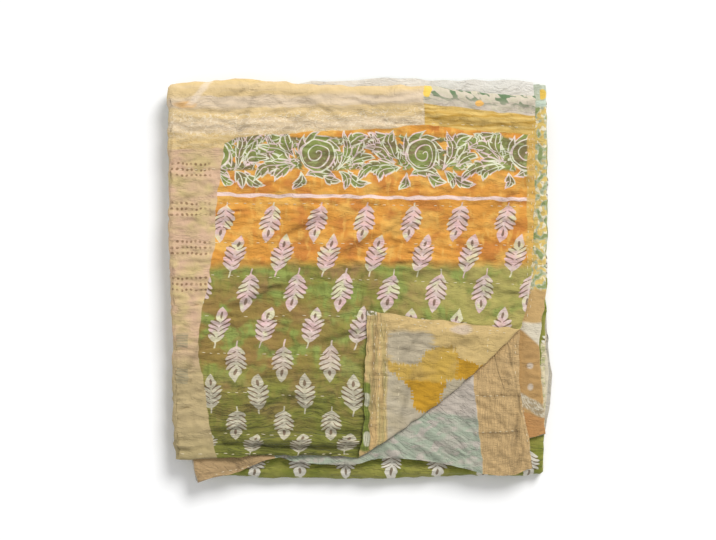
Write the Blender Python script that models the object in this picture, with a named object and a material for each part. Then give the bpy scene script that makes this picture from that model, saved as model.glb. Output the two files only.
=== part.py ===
"""A patchwork throw quilted from old sari cotton, folded into a flat square bundle.

The quilt is one stitched sheet. It is laid out flat, folded in half and in half again across its
width, which puts four layers on each other, and then folded back and forth in three along its length.
The bottom right corner of the top layer is turned back, so that its reverse shows.

Metres, +Z up, +Y away from the viewer. The origin is under the middle of the bundle.
"""

import math

import bmesh
import bpy
import numpy as np

# Driving dimensions
QUILT_WIDTH = 1.66
QUILT_LENGTH = 1.29
THICKNESS = 0.0015
AIR_GAP = 0.0009

# Levels in the bundle, in pitches of the layers. The middle of each run of four layers is level 0.
PITCH = THICKNESS + AIR_GAP
LAYERS_IN_A_RUN = 4
RUN_PITCH = LAYERS_IN_A_RUN * PITCH
RUN_TURN = RUN_PITCH / 2
TOP_LEVEL, SECOND_LEVEL, THIRD_LEVEL, FOURTH_LEVEL = 1.5, 0.5, -0.5, -1.5
HALF_RUN = TOP_LEVEL * PITCH + THICKNESS / 2
OUTER_TURN = TOP_LEVEL * PITCH
INNER_TURN = PITCH / 2
RUN_HEIGHTS = (HALF_RUN + 2 * RUN_PITCH, HALF_RUN + RUN_PITCH, HALF_RUN)
TOP_SHEET = RUN_HEIGHTS[0] + OUTER_TURN

# The spans of the flat cloth across its width: top layer, outer fold, fourth layer, right fold,
# third layer, inner fold, second layer. The functions below take them in this order.
PANEL_WIDTH = (QUILT_WIDTH - math.pi * (OUTER_TURN + 2 * INNER_TURN)) / 4
ACROSS = (
    PANEL_WIDTH,
    math.pi * OUTER_TURN,
    PANEL_WIDTH,
    math.pi * INNER_TURN,
    PANEL_WIDTH,
    math.pi * INNER_TURN,
    PANEL_WIDTH,
)

# The spans along its length: upper run, far fold, middle run, near fold, lower run.
RUN_LENGTH = (QUILT_LENGTH - 2 * math.pi * RUN_TURN) / 3
ALONG = (RUN_LENGTH, math.pi * RUN_TURN, RUN_LENGTH, math.pi * RUN_TURN, RUN_LENGTH)

# Where the folds and the side hems lie, left to right, from the near end of the upper run (0) to
# its far end (1), back to the near fold (2) and out to the far end of the lower run (3).
SIDES = np.array(
    [
        # along, outer fold, inner fold, right fold, top hem, second hem
        (0.00, -0.2070, -0.1850, 0.2088, 0.1622, 0.1935),
        (0.10, -0.2100, -0.1930, 0.2070, 0.1668, 0.1890),
        (0.20, -0.2105, -0.1980, 0.2040, 0.1713, 0.1810),
        (0.30, -0.2110, -0.2010, 0.2022, 0.1759, 0.1785),
        (0.40, -0.2125, -0.2030, 0.2079, 0.1804, 0.1800),
        (0.50, -0.2135, -0.2050, 0.2095, 0.1900, 0.1850),
        (0.75, -0.2155, -0.2070, 0.2105, 0.1960, 0.1900),
        (1.00, -0.2158, -0.2080, 0.2102, 0.1978, 0.1945),
        (1.30, -0.2150, -0.2060, 0.2115, 0.2105, 0.2085),
        (1.50, -0.2125, -0.2030, 0.2105, 0.2085, 0.2095),
        (1.65, -0.2070, -0.1980, 0.2085, 0.2120, 0.2100),
        (1.78, -0.2010, -0.1940, 0.2085, 0.2165, 0.2130),
        (1.90, -0.1950, -0.1880, 0.2080, 0.2090, 0.2060),
        (2.00, -0.1850, -0.1790, 0.2063, 0.2040, 0.2030),
        (2.20, -0.1980, -0.1900, 0.2075, 0.2030, 0.2040),
        (2.50, -0.2125, -0.2030, 0.2110, 0.2050, 0.2080),
        (3.00, -0.2100, -0.2010, 0.2105, 0.1955, 0.2030),
    ]
)
OUTER_SIDE, INNER_SIDE, RIGHT_SIDE, TOP_HEM, SECOND_HEM = range(1, 6)

# Where the folds and the end hems lie, near to far, from left to right across the bundle.
ENDS = np.array(
    [
        # across, far fold, near fold, then the near hems of the top, second, third and fourth
        # layers, then the far hems of the lower run's top layer and of its other layers
        (-0.216, 0.2203, -0.2140, -0.2020, -0.2310, -0.2240, -0.2010, 0.2140, 0.2140),
        (-0.184, 0.2233, -0.2165, -0.2015, -0.2275, -0.2190, -0.1960, 0.2150, 0.2150),
        (-0.160, 0.2243, -0.2185, -0.1996, -0.2200, -0.2080, -0.1925, 0.2150, 0.2150),
        (-0.138, 0.2246, -0.2203, -0.1980, -0.2160, -0.1990, -0.1905, 0.2150, 0.2155),
        (-0.117, 0.2245, -0.2214, -0.1967, -0.2070, -0.1930, -0.1905, 0.2160, 0.2160),
        (-0.097, 0.2238, -0.2220, -0.1961, -0.2000, -0.1905, -0.1905, 0.2180, 0.2165),
        (-0.067, 0.2213, -0.2224, -0.1965, -0.2040, -0.1905, -0.1905, 0.2237, 0.2170),
        (-0.015, 0.2180, -0.2227, -0.1978, -0.2072, -0.1905, -0.1905, 0.2260, 0.2180),
        (0.036, 0.2190, -0.2216, -0.2040, -0.1995, -0.1905, -0.1905, 0.2290, 0.2190),
        (0.074, 0.2176, -0.2209, -0.2117, -0.2035, -0.1900, -0.1905, 0.2270, 0.2200),
        (0.115, 0.2140, -0.2196, -0.2190, -0.2110, -0.1880, -0.1900, 0.2262, 0.2205),
        (0.135, 0.2115, -0.2192, -0.2225, -0.2165, -0.1850, -0.1880, 0.2262, 0.2205),
        (0.175, 0.2078, -0.2192, -0.2290, -0.2180, -0.1810, -0.1820, 0.2258, 0.2205),
        (0.193, 0.2072, -0.2186, -0.2310, -0.2110, -0.1775, -0.1780, 0.2245, 0.2209),
        (0.210, 0.2074, -0.2170, -0.2320, -0.2060, -0.1720, -0.1720, 0.2230, 0.2205),
    ]
)
FAR_SIDE, NEAR_SIDE, TOP_END, SECOND_END, THIRD_END, FOURTH_END, LOWER_TOP_END, LOWER_END = range(1, 9)

# The corner that is turned back: the middle of its crease, the crease's angle and half length, how
# far it bows out, and the roll's radius.
CREASE_X, CREASE_Y = 0.0900, -0.1248
CREASE_ANGLE = math.radians(38.6)
CREASE_HALF_LENGTH = 0.118
CREASE_BOW = 0.0085
BOW_FADES_OVER = 0.080
ROLL_RADIUS = 0.0019
ROLL_CELLS = 4
SNAP_DISTANCE = 0.00008
FLAP_SETTLES_OVER = 0.035

# The main creases that stand up in the top layer and in its turned corner, and the broad swell of
# the whole bundle.
TOP_RIDGES = np.array(
    [
        # x, y, angle in degrees, half length, half width, height
        (-0.085, 0.060, 24, 0.070, 0.016, 0.0026),
        (0.020, 0.052, 24, 0.090, 0.017, 0.0030),
        (-0.115, -0.012, 28, 0.080, 0.016, 0.0026),
        (0.115, 0.125, -3, 0.080, 0.015, 0.0018),
        (-0.100, 0.170, 5, 0.090, 0.016, 0.0022),
        (-0.090, -0.120, 3, 0.080, 0.015, 0.0022),
        (-0.080, -0.175, -2, 0.090, 0.014, 0.0026),
        (-0.180, 0.020, 88, 0.110, 0.016, 0.0018),
    ]
)
FLAP_RIDGES = np.array(
    [
        (0.026, -0.120, 88, 0.080, 0.014, 0.0024),
        (0.100, -0.056, -6, 0.070, 0.014, 0.0020),
        (0.070, -0.090, 40, 0.050, 0.016, 0.0022),
    ]
)
SWELL = 0.0012
SWELL_LENGTH = 0.23
SWELL_SHIFT = 0.15
SLUMP = 0.0014
SLUMP_WIDTH = 0.060
HALF_SPAN = (0.215, 0.226)

# How finely the flat sheet is divided, span by span, and the bend that is drawn as an edge.
ACROSS_CELLS = (10, 5, 10, 4, 10, 4, 10)
ALONG_CELLS = (12, 5, 12, 5, 8)
SHARP_ANGLE = math.radians(40)

CLOTH_COLOUR = (0.62, 0.49, 0.20, 1.0)
CLOTH_ROUGHNESS = 0.9


def smooth_row(table, column, at):
    """The table's column at these places of its first column, on a smooth curve through its rows."""
    knots, values = table[:, 0], table[:, column]
    at = np.clip(at, knots[0], knots[-1])
    low = np.clip(np.searchsorted(knots, at) - 1, 0, len(knots) - 2)
    slopes = np.gradient(values, knots)
    step = knots[low + 1] - knots[low]
    t = (at - knots[low]) / step
    rise = values[low + 1] - values[low]
    bend_in = t * (t - 1) ** 2 * (slopes[low] * step - rise)
    bend_out = t**2 * (t - 1) * (slopes[low + 1] * step - rise)
    return values[low] + rise * t + bend_in + bend_out


def piece_of(place, spans):
    """Which of these spans each place lies in, and how far through it, from 0 to 1."""
    ends = np.cumsum(spans)
    piece = np.clip(np.searchsorted(ends, place, side="right"), 0, len(spans) - 1)
    starts = ends - np.array(spans)
    return piece, np.clip((place - starts[piece]) / np.array(spans)[piece], 0, 1)


def across_the_bundle(u, n, along):
    """The place left to right and the height in a run of layers, of cloth at u across the flat
    sheet and n in front of its middle. along is the place in the table of SIDES."""
    piece, part = piece_of(u, ACROSS)
    turn = math.pi * part
    side, up = np.sin(turn), np.cos(turn)
    outer = smooth_row(SIDES, OUTER_SIDE, along) + OUTER_TURN + THICKNESS / 2
    inner = smooth_row(SIDES, INNER_SIDE, along) + INNER_TURN + THICKNESS / 2
    right = smooth_row(SIDES, RIGHT_SIDE, along) - INNER_TURN - THICKNESS / 2
    top_hem = smooth_row(SIDES, TOP_HEM, along)
    second_hem = smooth_row(SIDES, SECOND_HEM, along)
    x = np.choose(
        piece,
        [
            top_hem + (outer - top_hem) * part,
            outer - (OUTER_TURN + n) * side,
            outer + (right - outer) * part,
            right + (INNER_TURN + n) * side,
            right + (inner - right) * part,
            inner - (INNER_TURN - n) * side,
            inner + (second_hem - inner) * part,
        ],
    )
    height = np.choose(
        piece,
        [
            TOP_LEVEL * PITCH + n,
            (OUTER_TURN + n) * up,
            FOURTH_LEVEL * PITCH - n,
            -PITCH - (INNER_TURN + n) * up,
            THIRD_LEVEL * PITCH + n,
            -(INNER_TURN - n) * up,
            SECOND_LEVEL * PITCH - n,
        ],
    )
    return x, height, piece, part


def end_of(x, piece, part, columns):
    """Where the end hem lies at x, for the layer or fold that each point is in."""
    top, second, third, fourth = (smooth_row(ENDS, column, x) for column in columns)
    return np.choose(
        piece,
        [
            top,
            top + (fourth - top) * part,
            fourth,
            fourth + (third - fourth) * part,
            third,
            third + (second - third) * part,
            second,
        ],
    )


def folded(u, w, n):
    """Where a point of the flat sheet lies in the bundle. u and w are its places across and along
    the sheet, and n is its distance in front of the sheet's middle."""
    run, through = piece_of(w, ALONG)
    along = np.choose(run, [through, 1, 1 + through, 2, 2 + through])
    x, height, piece, part = across_the_bundle(u, n, along)
    reach = RUN_TURN + HALF_RUN
    far = smooth_row(ENDS, FAR_SIDE, x) - reach
    near = smooth_row(ENDS, NEAR_SIDE, x) + reach
    upper_end = end_of(x, piece, part, (TOP_END, SECOND_END, THIRD_END, FOURTH_END))
    lower_end = end_of(x, piece, part, (LOWER_TOP_END, LOWER_END, LOWER_END, LOWER_END))
    turn = math.pi * through
    y = np.choose(
        run,
        [
            upper_end + (far - upper_end) * through,
            far + (RUN_TURN + height) * np.sin(turn),
            far + (near - far) * through,
            near - (RUN_TURN - height) * np.sin(turn),
            near + (lower_end - near) * through,
        ],
    )
    upper, middle, lower = RUN_HEIGHTS
    z = np.choose(
        run,
        [
            upper + height,
            upper - RUN_TURN + (RUN_TURN + height) * np.cos(turn),
            middle - height,
            middle - RUN_TURN + (RUN_TURN - height) * np.cos(turn),
            lower + height,
        ],
    )
    return x, y, z


def past_crease(x, y):
    """How far a point of the top layer lies past the line where the turned corner leaves it."""
    off_x, off_y = math.sin(CREASE_ANGLE), -math.cos(CREASE_ANGLE)
    return (x - CREASE_X) * off_x + (y - CREASE_Y) * off_y + ROLL_RADIUS


def corner_turned(x, y, z):
    """Rolls the top layer's near right corner up at the crease and lays it back on the layer."""
    past = past_crease(x, y)
    turning = (past > 0) & (z > TOP_SHEET - PITCH / 2)
    angle = np.clip(past / ROLL_RADIUS, 0, math.pi)
    flat = np.maximum(past - math.pi * ROLL_RADIUS, 0)
    n = z - TOP_SHEET
    settle = (2 * ROLL_RADIUS - PITCH) * (1 - np.exp(-flat / FLAP_SETTLES_OVER))
    moved = (ROLL_RADIUS - n) * np.sin(angle) - flat - past
    lift = ROLL_RADIUS - (ROLL_RADIUS - n) * np.cos(angle) - n - settle
    moved, lift = np.where(turning, moved, 0), np.where(turning, lift, 0)
    return x + moved * math.sin(CREASE_ANGLE), y - moved * math.cos(CREASE_ANGLE), z + lift


def crease_bowed(x, y, z):
    """Bows the crease out in its middle, and eases the cloth of the top layer on both sides after it."""
    along = (x - CREASE_X) * math.cos(CREASE_ANGLE) + (y - CREASE_Y) * math.sin(CREASE_ANGLE)
    off = (x - CREASE_X) * math.sin(CREASE_ANGLE) - (y - CREASE_Y) * math.cos(CREASE_ANGLE)
    share = np.cos(math.pi / 2 * np.clip(along / CREASE_HALF_LENGTH, -1, 1))
    bow = CREASE_BOW * share * np.exp(-((off / BOW_FADES_OVER) ** 2))
    bow = np.where(z > TOP_SHEET - PITCH / 2, bow, 0)
    return x + bow * math.sin(CREASE_ANGLE), y - bow * math.cos(CREASE_ANGLE), z


def ridge_height(ridges, x, y):
    """How high these creases stand at each place."""
    height = np.zeros_like(x)
    for mid_x, mid_y, degrees, half_length, half_width, rise in ridges:
        angle = math.radians(degrees)
        along = (x - mid_x) * math.cos(angle) + (y - mid_y) * math.sin(angle)
        across = (y - mid_y) * math.cos(angle) - (x - mid_x) * math.sin(angle)
        height += rise * np.exp(-((along / half_length) ** 4) - (across / half_width) ** 2)
    return height


def uneven(x, y, z):
    """Swells the bundle a little, lets it slump at its edges, and raises the creases that show."""
    share = z / TOP_SHEET
    wave = np.sin(2 * math.pi * (x / SWELL_LENGTH + SWELL_SHIFT)) * np.cos(2 * math.pi * y / SWELL_LENGTH)
    edge = np.maximum(np.abs(x) - HALF_SPAN[0] + SLUMP_WIDTH, 0) / SLUMP_WIDTH
    end = np.maximum(np.abs(y) - HALF_SPAN[1] + SLUMP_WIDTH, 0) / SLUMP_WIDTH
    swelled = z + share * (SWELL * wave - SLUMP * (edge**2 + end**2))
    top_layer = np.clip((z - (TOP_SHEET - PITCH + THICKNESS / 2)) / AIR_GAP, 0, 1)
    flap = np.clip((z - (TOP_SHEET + THICKNESS / 2)) / AIR_GAP, 0, 1)
    raised = top_layer * ridge_height(TOP_RIDGES, x, y) + flap * ridge_height(FLAP_RIDGES, x, y)
    return x, y, swelled + raised


def divided(spans, cells):
    """The places that divide each span into its number of cells."""
    ends = np.concatenate([[0.0], np.cumsum(spans)])
    runs = [np.linspace(ends[i], ends[i + 1], cells[i] + 1)[1:] for i in range(len(spans))]
    return np.concatenate([[0.0], *runs])


def flat_sheet():
    """The quilt laid out flat, front up: a grid of cells as thick as the quilt, with its top layer
    divided more finely."""
    u_lines, w_lines = divided(ACROSS, ACROSS_CELLS), divided(ALONG, ALONG_CELLS)
    sheet = bmesh.new()
    bmesh.ops.create_grid(sheet, x_segments=len(u_lines) - 1, y_segments=len(w_lines) - 1, size=0.5)
    for vert in sheet.verts:
        column = round((vert.co.x + 0.5) * (len(u_lines) - 1))
        line = round((vert.co.y + 0.5) * (len(w_lines) - 1))
        vert.co = (u_lines[column], w_lines[line], THICKNESS / 2)
    bmesh.ops.recalc_face_normals(sheet, faces=sheet.faces)
    bmesh.ops.solidify(sheet, geom=sheet.faces[:], thickness=THICKNESS)
    for vert in sheet.verts:
        vert.co.z = math.copysign(THICKNESS / 2, vert.co.z - THICKNESS / 4)
    top_layer = [
        edge
        for edge in sheet.edges
        if all(v.co.x < PANEL_WIDTH + 1e-6 and v.co.y < RUN_LENGTH + 1e-6 for v in edge.verts)
        and abs(edge.verts[0].co.z - edge.verts[1].co.z) < THICKNESS / 2
    ]
    bmesh.ops.subdivide_edges(sheet, edges=top_layer, cuts=1, use_grid_fill=True)
    return sheet


def move_all(sheet, move):
    """Moves every vertex of the sheet to where the function puts its three coordinates."""
    places = np.array([vert.co for vert in sheet.verts]).T
    for vert, place in zip(sheet.verts, np.transpose(move(*places))):
        vert.co = place


def score_crease(sheet):
    """Cuts edge lines across the top layer where it rolls over at the turned corner."""
    across_crease = (math.sin(CREASE_ANGLE), -math.cos(CREASE_ANGLE), 0)
    for step in range(ROLL_CELLS + 1):
        past = math.pi * ROLL_RADIUS * step / ROLL_CELLS - ROLL_RADIUS
        point = (CREASE_X + across_crease[0] * past, CREASE_Y + across_crease[1] * past, 0)
        layer = [face for face in sheet.faces if min(v.co.z for v in face.verts) > TOP_SHEET - PITCH / 2]
        geom = dict.fromkeys(item for face in layer for item in (face, *face.edges, *face.verts))
        bmesh.ops.bisect_plane(sheet, geom=list(geom), plane_co=point, plane_no=across_crease, dist=SNAP_DISTANCE)


def centred(x, y, z):
    """Moves the bundle so that its box stands on the origin."""
    return x - (x.max() + x.min()) / 2, y - (y.max() + y.min()) / 2, z - z.min()


def cloth_material():
    """Soft washed cotton, the mean colour of the patches."""
    material = bpy.data.materials.new("quilted_cotton")
    material.use_nodes = True
    shader = material.node_tree.nodes["Principled BSDF"]
    shader.inputs["Base Color"].default_value = CLOTH_COLOUR
    shader.inputs["Roughness"].default_value = CLOTH_ROUGHNESS
    shader.inputs["Metallic"].default_value = 0.0
    return material


def build_quilt():
    """The folded quilt, one closed solid."""
    sheet = flat_sheet()
    move_all(sheet, folded)
    score_crease(sheet)
    move_all(sheet, corner_turned)
    move_all(sheet, crease_bowed)
    move_all(sheet, uneven)
    move_all(sheet, centred)
    bmesh.ops.recalc_face_normals(sheet, faces=sheet.faces)
    mesh = bpy.data.meshes.new("quilt")
    sheet.to_mesh(mesh)
    sheet.free()
    mesh.shade_smooth()
    mesh.set_sharp_from_angle(angle=SHARP_ANGLE)
    mesh.materials.append(cloth_material())
    quilt = bpy.data.objects.new("quilt", mesh)
    bpy.context.scene.collection.objects.link(quilt)


def main():
    for thing in list(bpy.data.objects):
        bpy.data.objects.remove(thing)
    build_quilt()


main()
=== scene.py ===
"""Looks of a patchwork throw quilted from old sari cotton, folded into a flat square bundle.

The file is laid out as an add-on. One operator makes the folded cloth, one its running stitches, one
the threads of its hems and seams, and one the stage. The cloth is laid out flat, divided finely where
it shows, and then folded just as the CAD solid is. Its prints are painted by nodes that read where
each patch lies in the bundle.

Metres, +Z up, +Y away from the viewer, as in the CAD.
"""

import functools
import math
import random

import bpy
import numpy as np
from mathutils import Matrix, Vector, noise
from mathutils.bvhtree import BVHTree


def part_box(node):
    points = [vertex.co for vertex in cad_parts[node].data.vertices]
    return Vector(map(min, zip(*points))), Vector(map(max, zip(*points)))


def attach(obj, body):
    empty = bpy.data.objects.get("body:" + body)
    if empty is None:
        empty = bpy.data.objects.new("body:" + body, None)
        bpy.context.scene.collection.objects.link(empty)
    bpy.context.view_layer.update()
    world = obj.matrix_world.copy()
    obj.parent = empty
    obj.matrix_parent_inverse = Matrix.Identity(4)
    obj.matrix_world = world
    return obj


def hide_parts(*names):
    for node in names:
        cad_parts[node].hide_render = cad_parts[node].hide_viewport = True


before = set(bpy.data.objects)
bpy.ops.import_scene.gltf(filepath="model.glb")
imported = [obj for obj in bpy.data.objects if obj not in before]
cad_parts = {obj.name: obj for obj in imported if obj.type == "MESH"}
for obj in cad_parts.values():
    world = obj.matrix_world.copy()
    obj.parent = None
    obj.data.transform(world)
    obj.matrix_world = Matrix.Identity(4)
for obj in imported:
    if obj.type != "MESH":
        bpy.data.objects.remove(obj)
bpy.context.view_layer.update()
CAD_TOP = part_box("quilt")[1][2]

bl_info = {
    "name": "Folded Sari Quilt",
    "version": (1, 0, 0),
    "blender": (4, 5, 0),
    "location": "View3D > Sidebar > Quilt",
    "description": "Makes a folded patchwork quilt of old sari cotton",
    "category": "Add Mesh",
}

MM = 0.001

# Where the folds and the side hems lie, left to right, from the near end of the upper run (0) to
# its far end (1), back to the near fold (2) and out to the far end of the lower run (3).
SIDES = np.array(
    [
        # along, outer fold, inner fold, right fold, top hem, second hem
        (0.00, -0.2070, -0.1850, 0.2088, 0.1622, 0.1935),
        (0.10, -0.2100, -0.1930, 0.2070, 0.1668, 0.1890),
        (0.20, -0.2105, -0.1980, 0.2040, 0.1713, 0.1810),
        (0.30, -0.2110, -0.2010, 0.2022, 0.1759, 0.1785),
        (0.40, -0.2125, -0.2030, 0.2079, 0.1804, 0.1800),
        (0.50, -0.2135, -0.2050, 0.2095, 0.1900, 0.1850),
        (0.75, -0.2155, -0.2070, 0.2105, 0.1960, 0.1900),
        (1.00, -0.2158, -0.2080, 0.2102, 0.1978, 0.1945),
        (1.30, -0.2150, -0.2060, 0.2115, 0.2105, 0.2085),
        (1.50, -0.2125, -0.2030, 0.2105, 0.2085, 0.2095),
        (1.65, -0.2070, -0.1980, 0.2085, 0.2120, 0.2100),
        (1.78, -0.2010, -0.1940, 0.2085, 0.2165, 0.2130),
        (1.90, -0.1950, -0.1880, 0.2080, 0.2090, 0.2060),
        (2.00, -0.1850, -0.1790, 0.2063, 0.2040, 0.2030),
        (2.20, -0.1980, -0.1900, 0.2075, 0.2030, 0.2040),
        (2.50, -0.2125, -0.2030, 0.2110, 0.2050, 0.2080),
        (3.00, -0.2100, -0.2010, 0.2105, 0.1955, 0.2030),
    ]
)
OUTER_SIDE, INNER_SIDE, RIGHT_SIDE, TOP_HEM, SECOND_HEM = range(1, 6)

# Where the folds and the end hems lie, near to far, from left to right across the bundle.
ENDS = np.array(
    [
        # across, far fold, near fold, then the near hems of the top, second, third and fourth
        # layers, then the far hems of the lower run's top layer and of its other layers
        (-0.216, 0.2203, -0.2140, -0.2020, -0.2310, -0.2240, -0.2010, 0.2140, 0.2140),
        (-0.184, 0.2233, -0.2165, -0.2015, -0.2275, -0.2190, -0.1960, 0.2150, 0.2150),
        (-0.160, 0.2243, -0.2185, -0.1996, -0.2200, -0.2080, -0.1925, 0.2150, 0.2150),
        (-0.138, 0.2246, -0.2203, -0.1980, -0.2160, -0.1990, -0.1905, 0.2150, 0.2155),
        (-0.117, 0.2245, -0.2214, -0.1967, -0.2070, -0.1930, -0.1905, 0.2160, 0.2160),
        (-0.097, 0.2238, -0.2220, -0.1961, -0.2000, -0.1905, -0.1905, 0.2180, 0.2165),
        (-0.067, 0.2213, -0.2224, -0.1965, -0.2040, -0.1905, -0.1905, 0.2237, 0.2170),
        (-0.015, 0.2180, -0.2227, -0.1978, -0.2072, -0.1905, -0.1905, 0.2260, 0.2180),
        (0.036, 0.2190, -0.2216, -0.2040, -0.1995, -0.1905, -0.1905, 0.2290, 0.2190),
        (0.074, 0.2176, -0.2209, -0.2117, -0.2035, -0.1900, -0.1905, 0.2270, 0.2200),
        (0.115, 0.2140, -0.2196, -0.2190, -0.2110, -0.1880, -0.1900, 0.2262, 0.2205),
        (0.135, 0.2115, -0.2192, -0.2225, -0.2165, -0.1850, -0.1880, 0.2262, 0.2205),
        (0.175, 0.2078, -0.2192, -0.2290, -0.2180, -0.1810, -0.1820, 0.2258, 0.2205),
        (0.193, 0.2072, -0.2186, -0.2310, -0.2110, -0.1775, -0.1780, 0.2245, 0.2209),
        (0.210, 0.2074, -0.2170, -0.2320, -0.2060, -0.1720, -0.1720, 0.2230, 0.2205),
    ]
)
FAR_SIDE, NEAR_SIDE, TOP_END, SECOND_END, THIRD_END, FOURTH_END, LOWER_TOP_END, LOWER_END = range(1, 9)

# The corner that is turned back.
CREASE_X, CREASE_Y = 0.0900, -0.1248
CREASE_ANGLE = math.radians(38.6)
CREASE_HALF_LENGTH = 0.118
CREASE_BOW = 0.0085
BOW_FADES_OVER = 0.080
ROLL_RADIUS = 0.0019
ROLL_CELLS = 6
SNAP_DISTANCE = 0.0001
FLAP_SETTLES_OVER = 0.035
FLAP_CORNERS = ((0.0101, -0.0388), (0.1821, -0.0511), (-0.0022, -0.1984))

# The broad swell of the bundle and the slump of its edges, as in the CAD.
SWELL = 0.0012
SWELL_LENGTH = 0.23
SWELL_SHIFT = 0.15
SLUMP = 0.0014
SLUMP_WIDTH = 0.060
HALF_SPAN = (0.215, 0.226)

# The main creases of the top layer and of its turned corner: soft ridges that stand up.
TOP_RIDGES = (
    # x, y, angle in degrees, half length, half width, height
    (-0.085, 0.060, 24, 0.070, 0.016, 0.0026),
    (0.020, 0.052, 24, 0.090, 0.017, 0.0030),
    (-0.115, -0.012, 28, 0.080, 0.016, 0.0026),
    (0.115, 0.125, -3, 0.080, 0.015, 0.0018),
    (-0.100, 0.170, 5, 0.090, 0.016, 0.0022),
    (-0.090, -0.120, 3, 0.080, 0.015, 0.0022),
    (-0.080, -0.175, -2, 0.090, 0.014, 0.0026),
    (-0.180, 0.020, 88, 0.110, 0.016, 0.0018),
)
FLAP_RIDGES = (
    (0.026, -0.120, 88, 0.080, 0.014, 0.0024),
    (0.100, -0.056, -6, 0.070, 0.014, 0.0020),
    (0.070, -0.090, 40, 0.050, 0.016, 0.0022),
)

# Sharper wrinkles in what shows: narrow troughs (below 0) and ridges (above 0) on the fine crinkle.
WRINKLES = (
    # x, y, angle in degrees, half length, half width, height
    (-0.064, 0.061, 26, 0.030, 0.0030, -0.0016),
    (0.012, 0.047, 25, 0.040, 0.0034, -0.0018),
    (0.030, 0.052, 22, 0.030, 0.0040, 0.0012),
    (-0.115, -0.016, 24, 0.040, 0.0030, -0.0018),
    (-0.112, -0.010, 24, 0.034, 0.0036, 0.0012),
    (-0.024, -0.063, 16, 0.034, 0.0030, -0.0016),
    (-0.118, -0.186, -2, 0.050, 0.0028, -0.0018),
    (-0.085, -0.178, 2, 0.060, 0.0034, 0.0018),
    (-0.030, -0.188, 1, 0.045, 0.0030, -0.0018),
    (-0.140, -0.168, 5, 0.040, 0.0030, -0.0015),
    (-0.020, -0.171, -4, 0.050, 0.0030, -0.0015),
    (-0.060, -0.163, 2, 0.050, 0.0032, 0.0014),
    (-0.110, -0.179, -3, 0.044, 0.0036, 0.0024),
    (-0.045, -0.182, 3, 0.044, 0.0034, 0.0024),
    (-0.150, -0.190, 4, 0.030, 0.0030, 0.0018),
    (-0.075, -0.193, 0, 0.060, 0.0028, 0.0016),
    (-0.060, -0.1875, 1, 0.070, 0.0022, -0.0018),
    (0.140, 0.176, -6, 0.060, 0.0030, -0.0014),
    (0.110, 0.186, -6, 0.050, 0.0032, 0.0014),
    (-0.060, -0.104, 3, 0.060, 0.0030, -0.0012),
    (-0.110, -0.142, 20, 0.030, 0.0030, -0.0014),
    (-0.150, 0.190, 50, 0.022, 0.0034, 0.0011),
    (-0.128, 0.186, 70, 0.026, 0.0030, -0.0008),
    (-0.045, 0.195, -32, 0.030, 0.0032, -0.0007),
    (-0.070, 0.180, 38, 0.026, 0.0032, -0.0008),
    (-0.190, -0.090, 60, 0.030, 0.0030, -0.0010),
    (0.080, 0.010, 12, 0.050, 0.0032, -0.0010),
    (0.150, -0.010, -14, 0.036, 0.0032, -0.0010),
    (0.160, 0.090, 34, 0.036, 0.0032, -0.0010),
)

# The wrinkles of the second layer under the turned corner, which fan out from its crease.
SECOND_WRINKLES = (
    (0.093, -0.150, -38, 0.034, 0.0036, 0.0016),
    (0.072, -0.166, -32, 0.036, 0.0034, 0.0014),
    (0.108, -0.172, -46, 0.024, 0.0034, 0.0012),
    (0.050, -0.182, -22, 0.034, 0.0034, 0.0013),
    (0.062, -0.190, -26, 0.026, 0.0030, -0.0009),
    (0.088, -0.184, -34, 0.026, 0.0030, -0.0009),
    (0.164, -0.096, -62, 0.020, 0.0034, 0.0018),
    (0.150, -0.150, 4, 0.030, 0.0034, 0.0012),
    (0.150, -0.131, 0, 0.034, 0.0024, -0.0010),
    (0.155, -0.172, 1, 0.034, 0.0024, -0.0010),
    (0.183, -0.130, 86, 0.050, 0.0030, 0.0020),
    (0.1775, -0.150, 84, 0.060, 0.0026, -0.0012),
    (0.171, -0.100, 76, 0.026, 0.0030, 0.0018),
    (0.186, -0.185, 98, 0.026, 0.0030, 0.0018),
    (0.180, -0.200, 66, 0.020, 0.0030, -0.0010),
    (-0.150, -0.214, 14, 0.040, 0.0026, -0.0010),
)

# How the second layer's crinkles slant.
SECOND_SLANT = math.radians(-33)

# The tucks of the turned corner, most of them along its left hem.
FLAP_WRINKLES = (
    (0.0130, -0.120, 87, 0.070, 0.0022, -0.0011),
    (0.0190, -0.110, 89, 0.060, 0.0024, 0.0012),
    (0.0250, -0.125, 87, 0.060, 0.0022, -0.0011),
    (0.0310, -0.105, 85, 0.050, 0.0024, 0.0010),
    (0.0600, -0.070, 50, 0.030, 0.0030, -0.0010),
    (0.1100, -0.072, 20, 0.034, 0.0030, -0.0010),
    (0.0900, -0.058, -4, 0.050, 0.0026, 0.0010),
    (0.0520, -0.130, 74, 0.030, 0.0030, -0.0010),
    (0.0850, -0.095, 30, 0.026, 0.0030, 0.0010),
)

# The outlines of the hems and folds stray this far to each side, in bends of about this size.
STRAY = 0.0010
STRAY_SIZE = 0.013
STRAY_BETWEEN_LAYERS = 0.005

# The rows of running stitch across the top layer.
STITCH_ROWS = (
    # left x, left y, right x, right y
    (-0.158, 0.0870, 0.194, 0.0830),
    (-0.164, 0.0430, 0.194, 0.0390),
    (-0.168, 0.0060, 0.190, -0.0050),
    (-0.175, -0.0400, 0.020, -0.0400),
    (-0.178, -0.0815, 0.003, -0.0850),
    (-0.176, -0.1240, 0.003, -0.1330),
    (-0.170, -0.1720, 0.000, -0.1750),
    (-0.205, 0.1250, 0.194, 0.1310),
    (-0.205, 0.1900, 0.194, 0.1720),
    (-0.202, -0.1950, -0.008, -0.1950),
)


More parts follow.
